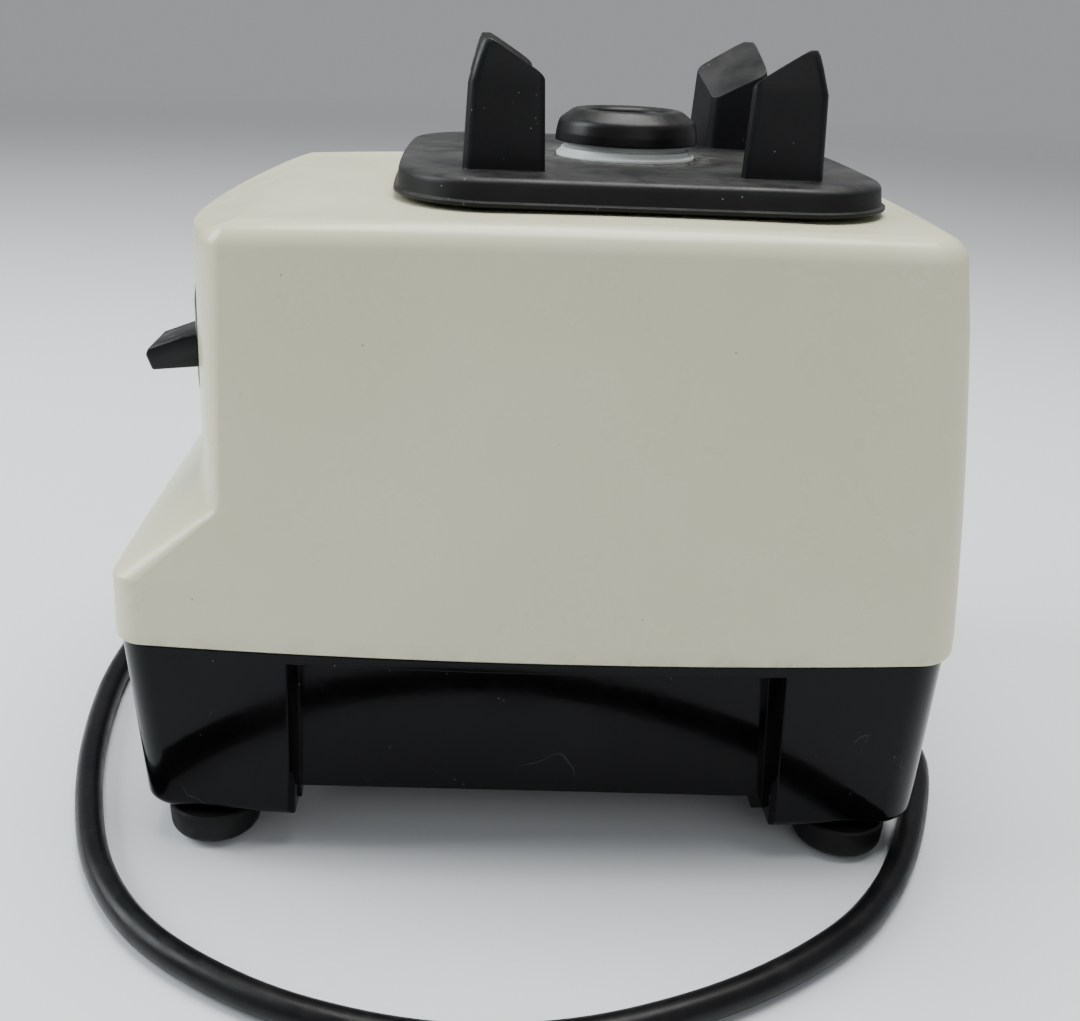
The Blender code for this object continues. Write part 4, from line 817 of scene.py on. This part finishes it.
def make_base():
    rings = []
    for angle in range(0, 91, 15):
        rounding = LEG_EDGE_RADIUS * (1 - math.sin(math.radians(angle)))
        height = LEG_BOTTOM + LEG_EDGE_RADIUS * (1 - math.cos(math.radians(angle)))
        rings.append([(x, y, height) for x, y in base_outline(height, rounding)])
    for height in (0.025, 0.038, 0.052, BASE_TOP):
        rings.append([(x, y, height) for x, y in base_outline(height, 0.0)])
    skin = loft("base_skin", rings, GLOSS_BLACK)
    low, high = -0.005, RECESS_TOP
    foot_of_end = END_RECESS_X + 0.0008
    end = [(-foot_of_end, low), (foot_of_end, low), (END_RECESS_X, high), (-END_RECESS_X, high)]
    wide, narrow = 0.0705, 0.0480
    cutters = [
        side_recess("recess_near", 1),
        side_recess("recess_far", -1),
        prism("recess_front", end, -0.150, FRONT_RECESS_Y, axis="Y"),
        prism("recess_rear", end, REAR_RECESS_Y, 0.150, axis="Y"),
        block("underside_along", (-END_RECESS_X, -0.100, 0.0), (END_RECESS_X, 0.102, FLOOR_UNDERSIDE)),
        block(
            "underside_across",
            (-0.078, SIDE_RECESS_FRONT, 0.0),
            (0.078, SIDE_RECESS_REAR, FLOOR_UNDERSIDE),
        ),
        block("cavity_across", (-wide, -0.058, FLOOR_TOP), (wide, 0.064, 0.0700)),
        block("cavity_along", (-narrow, -0.0925, FLOOR_TOP), (narrow, 0.0950, 0.0704)),
        rod("intake_hole", (0, AXIS_Y, 0.005), (0, AXIS_Y, 0.030), INTAKE_RADIUS, 80),
    ]
    for end_name, y in FOOT_YS.items():
        for x in (FOOT_X, -FOOT_X):
            cutters.append(rod(f"bore_{end_name}_{x}", (x, y, 0.0), (x, y, 0.090), SCREW_BORE, 24))
    combine(skin, "DIFFERENCE", cutters)
    soften(skin, 0.0006, 2, 38)
    shade(skin, 30, weighted=True)
    put(skin, "base", "black_plastic", "base_shell")


def make_feet():
    rim = arc((0.0098, 0.0042), 0.0030, -80, 0, 8)
    profile = [(0.0046, 0.0004), (0.0050, 0.0), (0.0075, 0.0), (0.0092, 0.0006)] + rim
    profile += [(0.0130, 0.0075), (0.0130, FOOT_TOP - 0.0006), (0.0125, FOOT_TOP)]
    profile += [(SCREW_BORE, FOOT_TOP), (SCREW_BORE, 0.0050), (0.0046, 0.0050)]
    for end_name, y in FOOT_YS.items():
        for side, x in (("near", FOOT_X), ("far", -FOOT_X)):
            foot = turned(f"rubber_foot_{end_name}_{side}", profile, FOOT_RUBBER, 72, centre=(x, y))
            put(foot, "base", "black_rubber", f"foot_{end_name}_{side}")


def splayed(section, half):
    """A square section with its inner corner moved outwards, so that its two inner faces splay."""
    result = []
    for u, v in section:
        move = PEG_SPLAY * (half - u) * (half - v) / (4 * half**2)
        result.append((u + move, v + move))
    return result


def make_peg(name, x_sign, y_sign):
    rings = []
    for height, inner, outer in PEG_SECTIONS:
        middle, half = (inner + outer) / 2, (outer - inner) / 2
        section = rounded_rectangle(half, -half, half, PEG_ROUNDING, side_steps=1, corner_steps=8)
        section = [(middle + u, middle + v) for u, v in splayed(section, half)]
        rings.append([(x_sign * u, AXIS_Y + y_sign * v, height) for u, v in section])
    post = loft(name, rings, None)
    run = 0.040
    fall = run * math.sqrt(2) * PEG_FACET_SLOPE
    start = PEG_FACET_START / math.sqrt(2)
    outline = [(start, PEG_TOP), (start, 0.240), (start - run, 0.240), (start - run, PEG_TOP - fall)]
    facet = prism(name + "_facet", outline, -0.040, 0.040, axis="Y")
    angle = math.atan2(y_sign, x_sign)
    facet.data.transform(Matrix.Translation((0.0, AXIS_Y, 0.0)) @ Matrix.Rotation(angle, 4, "Z"))
    combine(post, "DIFFERENCE", [facet])
    soften(post, 0.0007, 3, 24)
    return post


def make_pad():
    rings = []
    levels = [(0.0, 0.0006), (0.0004, 0.0), (0.0012, 0.0), (0.0016, 0.0008), (0.0049, PAD_LIP)]
    for step in range(1, 7):
        angle = math.radians(15 * step)
        rise = PAD_TOP - PAD_BOTTOM - PAD_EDGE_RADIUS + PAD_EDGE_RADIUS * math.sin(angle)
        levels.append((rise, PAD_LIP + PAD_EDGE_RADIUS * (1 - math.cos(angle))))
    for rise, inset in levels:
        half, depth = PAD_HALF_WIDTH - inset, PAD_HALF_DEPTH - inset
        front, rear = PAD_CENTRE_Y - depth, PAD_CENTRE_Y + depth
        outline = rounded_rectangle(half, front, rear, PAD_CORNER, side_steps=8, corner_steps=16)
        outline = bowed(outline, half, front, rear, 0.0, PAD_BOW, PAD_BOW)
        rings.append([(x, y, PAD_BOTTOM + rise) for x, y in outline])
    pad = loft("pad_with_pegs", rings, PAD_RUBBER)
    pegs = [make_peg(f"peg_{x}_{y}", x, y) for x in (1, -1) for y in (1, -1)]
    combine(pad, "UNION", pegs)
    hole = rod("pad_hole", (0, AXIS_Y, 0.170), (0, AXIS_Y, 0.200), RING_RADIUS + GAP, 96)
    combine(pad, "DIFFERENCE", [hole])
    shade(pad, 30, weighted=True)
    put(pad, "base", "black_rubber", "centering_pad")


def make_nut_and_ring():
    bore = NECK_RADIUS + GAP
    ring_top = 0.1912
    ring = [(bore, PAD_BOTTOM), (RING_RADIUS, PAD_BOTTOM), (RING_RADIUS, 0.1880), (0.0201, 0.1884)]
    ring += [(0.0192, 0.1891), (0.0190, 0.1897), (0.0181, 0.1901), (0.0178, 0.1906), (0.0178, ring_top)]
    ring += [(bore, ring_top)]
    put(turned("washer_ring", ring, WHITE_WASHER, 128), "base", "white_plastic", "spacer_ring")
    bottom = ring_top + GAP
    outer = fillet(
        [(0.0200, bottom), (0.0209, bottom + 0.0001), (0.0207, 0.1942), (0.0200, 0.1976), (0.0150, 0.2013),
         (0.0116, 0.2000), (0.0108, 0.1966)],
        (0.0004, 0.0012, 0.0030, 0.0036, 0.0016),
        7,
    )
    nut = [(bore, bottom)] + outer + [(bore, 0.1966)]
    put(turned("nut_skin", nut, NUT_BLACK, 144, angle=50), "base", "black_satin_plastic", "retaining_nut")


def make_socket():
    """Steel drive socket with a six-sided recess for the jar's stud."""
    profile = [(0.0, 0.1812), (0.0053, 0.1812), (0.0053, 0.1760), (0.0092, 0.1760), (0.0104, 0.1770)]
    profile += [(0.0104, 0.1936), (0.0101, 0.1942), (0.0095, 0.1945), (0.0074, 0.1945)]
    profile += [(0.0064, 0.1938), (0.0, 0.1938)]
    socket = turned("socket_skin", profile, STEEL, 96)
    outline = arc((0.0, AXIS_Y), 0.0058, 0, 300, 5)
    combine(socket, "DIFFERENCE", [prism("hex_recess", outline, 0.1822, 0.2000)])
    soften(socket, 0.0002, 2, 40)
    shade(socket, 30)
    put(socket, "rotor", "steel", "drive_socket")


def make_panel():
    """The bezels round the control panel's two switch slots, and the panel's film."""
    middle = (PANEL_BOTTOM + PANEL_TOP) / 2
    half_width = HOUSING_HALF_WIDTH - (middle - HOUSING_BOTTOM) * SIDE_DRAFT
    face_bow, _ = front_shape(middle)

    def face(x):
        return FACE_FRONT + face_bow * (x / half_width) ** 2 + PANEL_PROUD

    for side, sign in (("near", 1), ("far", -1)):
        centre = sign * PADDLE_X
        frame_ring = rounded_rectangle(*BEZEL_OUTSIDE, side_steps=4, corner_steps=8)
        hole_ring = rounded_rectangle(*BEZEL_HOLE, side_steps=4, corner_steps=8)
        bm = bmesh.new()
        rows = []
        for ring, lift in ((frame_ring, 0.0), (frame_ring, -0.0009), (hole_ring, -0.0013), (hole_ring, 0.0)):
            rows.append([bm.verts.new((centre + x, face(centre + x) + lift, z)) for x, z in ring])
        for lower, upper in zip(rows, rows[1:] + rows[:1]):
            bridge_rows(bm, lower, upper, len(lower))
        bezel = add_object(f"switch_bezel_{side}", finish_mesh("switch_bezel", bm), SATIN_BLACK)
        soften(bezel, 0.0003, 2, 30)
        shade(bezel, 40)
        put(bezel, "base", "black_satin_plastic")
    NODES["control_panel"].data.materials[0] = PANEL_FILM


def make_lever(name, node, body, centre):
    """A paddle on a round hub, rounded all over."""
    place = Matrix.Translation((centre, PIVOT_Y, PIVOT_Z)) @ Matrix.Rotation(PADDLE_REST, 4, "X")
    hub = 0.0048
    back = [(hub * math.sin(a), hub * math.cos(a)) for a in (math.radians(10 * step) for step in range(19))]
    front = fillet(
        [(-0.0110, -0.0044), (-0.0230, -0.0031), (-0.0237, 0.0014), (-0.0226, 0.0030), (-0.0125, 0.0046)],
        (0.0008, 0.0012, 0.0010),
        4,
    )
    half = PADDLE_WIDTH / 2
    rings = []
    for x in (-half, half):
        rings.append([(x, u, v) for u, v in back + front])
    lever = loft(name, rings, SATIN_BLACK, smooth=False)
    hole = rod(name + "_hole", (-0.020, 0, 0), (0.020, 0, 0), PIN_RADIUS + GAP, 32)
    combine(lever, "DIFFERENCE", [hole])
    lever.data.transform(place)
    soften(lever, 0.0009, 3, 32)
    shade(lever, 40)
    put(lever, body, "black_satin_plastic", node)


# ---------------------------------------------------------------- cord


def smooth_points(route, spacing):
    route = [Vector(point) for point in route]
    padded = [2 * route[0] - route[1]] + route + [2 * route[-1] - route[-2]]
    fine = []
    for before, start, end, after in zip(padded, padded[1:], padded[2:], padded[3:]):
        for step in range(24):
            t = step / 24
            a = 2 * start
            b = end - before
            c = 2 * before - 5 * start + 4 * end - after
            d = 3 * start - before - 3 * end + after
            fine.append((a + b * t + c * t**2 + d * t**3) / 2)
    fine.append(route[-1])
    lengths = [0.0]
    for start, end in zip(fine, fine[1:]):
        lengths.append(lengths[-1] + (end - start).length)
    count = max(2, round(lengths[-1] / spacing))
    points = []
    index = 0
    for step in range(count + 1):
        target = lengths[-1] * step / count
        while index < len(fine) - 2 and lengths[index + 1] < target:
            index += 1
        share = (target - lengths[index]) / (lengths[index + 1] - lengths[index])
        points.append(fine[index].lerp(fine[index + 1], min(1.0, share)))
    return points


def ease(value, start, end):
    """0 before start, 1 after end, smooth between them."""
    share = min(1.0, max(0.0, (value - start) / (end - start)))
    return share * share * (3 - 2 * share)


COIL_MIDDLE = 0.0477
TURN_SPACING = 0.0082
COIL_START_ANGLE = -4.0
COIL_END = 1264.0
LEAVE_RADIUS = 0.0600


def coil_point(angle):
    """Middle line of the wound cord at a cumulative angle: two turns below, then two on top of them."""
    outer, inner = COIL_MIDDLE + TURN_SPACING / 2, COIL_MIDDLE - TURN_SPACING / 2
    low = CORD_RADIUS + 0.0002
    if angle < 360:
        radius = outer + (LEAVE_RADIUS - outer) * (1 - ease(angle, 0, 60))
        height = low
    elif angle < 720:
        radius = outer + (inner - outer) * ease(angle, 360, 420)
        height = low
    else:
        lap = ease(angle if angle < 1080 else angle - 360, 720, 780)
        quarter = lap * math.pi / 2
        radius = outer - TURN_SPACING * lap - TURN_SPACING * math.cos(quarter)
        height = low + TURN_SPACING * math.sin(quarter)
        if angle >= 1080:
            turn = ease(angle, 1080, 1140) * math.pi / 2
            radius += TURN_SPACING * math.sin(turn)
            height += TURN_SPACING * math.cos(turn)
    if angle > 1195:
        leave = ease(angle, 1195, COIL_END)
        radius += (LEAVE_RADIUS - radius) * leave
        height += (0.0105 - height) * leave
    turned_by = math.radians(COIL_START_ANGLE + angle)
    return COIL_CENTRE + Vector((radius * math.cos(turned_by), radius * math.sin(turned_by), height))


def cord_points():
    heading = Vector((math.cos(RELIEF_HEADING), math.sin(RELIEF_HEADING), 0.0))
    start = RELIEF_START + heading * RELIEF_LENGTH
    coil = [coil_point(angle) for angle in range(0, int(COIL_END) + 1, 12)]
    tail = [PLUG_START + Vector((0, y, z)) for y, z in ((0.022, -0.0001), (0.010, 0.0), (0.0004, 0.0))]
    route = [start - heading * 0.002, start + heading * 0.003] + CORD_ROUTE
    return smooth_points([Vector(point) + SHIFT for point in route + coil + tail], 0.0045)


def make_cord():
    points = cord_points()
    curve = bpy.data.curves.new("power_lead", "CURVE")
    curve.dimensions = "3D"
    spline = curve.splines.new("POLY")
    spline.points.add(len(points) - 1)
    for target, point in zip(spline.points, points):
        target.co = (*point, 1.0)
    spline.use_smooth = True
    curve.bevel_depth = CORD_RADIUS
    curve.bevel_resolution = 5
    curve.use_fill_caps = True
    lead = bpy.data.objects.new("power_lead", curve)
    bpy.context.scene.collection.objects.link(lead)
    curve.materials.append(CORD_JACKET)
    put(lead, "base", "cord_rubber", "power_cord", "cord_coil", "cord_tail")
    return lead, points


def make_relief():
    """Ribbed rubber boot that thins towards the cord."""
    profile = [(0.0, -0.0118), (0.0044, -0.0118), (0.0047, -0.0115), (0.0047, 0.0), (0.0066, 0.0)]
    profile += [(0.0068, 0.0002), (0.0068, 0.0016), (0.0066, 0.0018), (0.0061, 0.0020)]
    ribs = 6
    for rib in range(ribs):
        along = 0.0026 + rib * 0.0031
        outer = 0.0060 - 0.0013 * rib / ribs
        profile += [(outer, along), (outer, along + 0.0013), (outer - 0.0007, along + 0.0017)]
        profile += [(outer - 0.0008, along + 0.0026)]
    profile += [(0.0045, RELIEF_LENGTH - 0.0006), (0.0043, RELIEF_LENGTH - GAP), (0.0, RELIEF_LENGTH - GAP)]
    heading = Vector((math.cos(RELIEF_HEADING), math.sin(RELIEF_HEADING), 0.0))
    turn = heading.to_track_quat("Z", "Y").to_matrix().to_4x4()
    place = Matrix.Translation(RELIEF_START) @ turn
    boot = turned("relief_boot", profile, CORD_JACKET, 48, matrix=place, angle=25)
    put(boot, "base", "cord_rubber", "strain_relief")


def make_plug():
    """Moulded plug with a ribbed neck and shallow finger grips."""
    rings = []
    sections = [
        (0.0002, 0.0050, -0.0044, 0.0050),
        (0.0030, 0.0052, -0.0046, 0.0052),
        (0.0036, 0.0047, -0.0042, 0.0047),
        (0.0052, 0.0047, -0.0042, 0.0047),
        (0.0058, 0.0059, -0.0052, 0.0060),
        (0.0084, 0.0062, -0.0056, 0.0064),
        (0.0090, 0.0056, -0.0051, 0.0058),
        (0.0106, 0.0058, -0.0052, 0.0060),
        (0.0112, 0.0070, -0.0062, 0.0074),
        (0.0140, 0.0075, -0.0066, 0.0080),
        (0.0170, 0.0100, -0.0076, 0.0102),
        (0.0200, 0.0119, -0.0082, 0.0120),
        (0.0230, 0.0122, -0.0083, 0.0126),
        (0.0260, 0.0119, -0.0083, 0.0127),
        (0.0300, 0.0119, -0.0083, 0.0131),
        (0.0330, 0.0126, -0.0083, 0.0137),
        (0.0360, 0.0132, -0.0083, 0.0140),
        (0.0412, 0.0132, -0.0083, 0.0140),
        (0.0420, 0.0126, -0.0077, 0.0134),
    ]
    for along, half_wide, low, high in sections:
        middle, half = (low + high) / 2, (high - low) / 2
        section = rounded_rectangle(half_wide, -half, half, min(half_wide, half) * 0.5, None, 4, 8)
        rings.append([PLUG_START + Vector((x, -along, middle + z)) for x, z in section])
    body = loft("plug_skin", rings, SATIN_BLACK, angle=40)
    put(body, "base", "black_satin_plastic", "plug_body")
    return body


def cord_and_ends():
    lead, points = make_cord()
    make_relief()
    plug = make_plug()


# ---------------------------------------------------------------- CAD nodes that stay

KEPT = {
    SATIN_BLACK: "bottom_cover brush_cap_near brush_cap_far fan_shroud power_switch_body speed_switch_body",
    STEEL: "foot_screw_front_near foot_screw_front_far foot_screw_rear_near foot_screw_rear_far "
    "upper_bearing lower_bearing motor_bolt_1 motor_bolt_2 motor_bolt_3 motor_bolt_4 "
    "brush_spring_near brush_spring_far power_pivot_pin speed_pivot_pin motor_shaft",
    CAST: "motor_top_bracket motor_bottom_bracket cooling_fan",
    LAMINATED: "stator_core armature_core",
    WINDING: "field_coil_near field_coil_far armature_winding_upper armature_winding_lower",
    COMMUTATOR: "commutator",
    CARBON: "carbon_brush_near carbon_brush_far",
    BRASS: "brush_holder_near brush_holder_far plug_blade_left plug_blade_right plug_ground_pin",
    CORD_JACKET: "lead_mains lead_between_switches lead_motor",
}


def finish_kept_nodes():
    for material, names in KEPT.items():
        for name in names.split():
            slots = NODES[name].data.materials
            if len(slots):
                slots[0] = material
            else:
                slots.append(material)


# ---------------------------------------------------------------- stage


def floor_material():
    """Pale bluish white, greyer behind the object and fading into the room's colour far away."""
    n = Nodes("Floor")
    behind = n.steps(n.axis("X"), -1.1, -0.25, 1.0, 0.0)
    colour = n.mix(behind, (0.74, 0.765, 0.79), (0.52, 0.53, 0.54))
    n.link(n.steps(n.distance_from((0.0, 0.0, 0.0)), 0.9, 3.2, 1.0, 0.0), n.shader.inputs["Alpha"])
    return n.finish(colour, 0.45, Specular_IOR_Level=0.3)


def make_stage():
    bm = bmesh.new()
    bmesh.ops.create_grid(bm, x_segments=1, y_segments=1, size=6.0)
    floor = add_object("floor", finish_mesh("floor", bm, smooth=False), floor_material())
    floor.location = (0.0, 0.0, -0.0001)
    world = bpy.data.worlds.new("Soft room")
    bpy.context.scene.world = world
    world.use_nodes = True
    background = world.node_tree.nodes["Background"]
    background.inputs["Color"].default_value = (*WORLD_COLOUR, 1.0)
    background.inputs["Strength"].default_value = WORLD_STRENGTH


def area_light(name, place, target, size, power, colour):
    light = bpy.data.lights.new(name, "AREA")
    light.shape = "RECTANGLE"
    light.size, light.size_y = size
    light.energy = power
    light.color = colour
    obj = bpy.data.objects.new(name, light)
    bpy.context.scene.collection.objects.link(obj)
    obj.location = place
    obj.rotation_euler = (Vector(target) - Vector(place)).to_track_quat("-Z", "Y").to_euler()


def make_lights():
    centre = (0.0, 0.0, 0.10)
    area_light("overhead", (-0.15, 0.10, 1.55), centre, (1.1, 1.0), 38.0, (1.0, 0.995, 0.98))
    area_light("front_window", (-0.10, -1.50, 1.05), centre, (0.9, 1.1), 30.0, (0.93, 0.98, 1.0))
    area_light("camera_side", (1.5, 0.5, 0.9), centre, (1.2, 1.0), 3.8, (1.0, 1.0, 0.98))


def make_camera():
    turn, tilt, roll = (math.radians(v) for v in (CAMERA_TURN, CAMERA_TILT, CAMERA_ROLL))
    forward = Vector((-math.cos(tilt) * math.cos(turn), -math.cos(tilt) * math.sin(turn), -math.sin(tilt)))
    right = Vector((-math.sin(turn), math.cos(turn), 0.0))
    up = right.cross(forward)
    rolled_right = math.cos(roll) * right + math.sin(roll) * up
    rolled_up = -math.sin(roll) * right + math.cos(roll) * up
    turn_matrix = Matrix((rolled_right, rolled_up, -forward)).transposed().to_4x4()
    camera = bpy.data.cameras.new("Camera")
    camera.sensor_width = 36.0
    camera.lens = CAMERA_LENS
    camera.shift_x, camera.shift_y = CAMERA_SHIFT
    camera.clip_start = 0.01
    obj = bpy.data.objects.new("Camera", camera)
    bpy.context.scene.collection.objects.link(obj)
    obj.matrix_world = Matrix.Translation(CAMERA_PLACE) @ turn_matrix
    bpy.context.scene.camera = obj


make_camera()
cord_and_ends()
make_housing()
make_base()
make_feet()
make_pad()
make_nut_and_ring()
make_socket()
make_panel()
make_lever("power_lever_skin", "power_paddle", "power_lever", PADDLE_X)
make_lever("speed_lever_skin", "speed_paddle", "speed_lever", -PADDLE_X)
finish_kept_nodes()
make_stage()
make_lights()
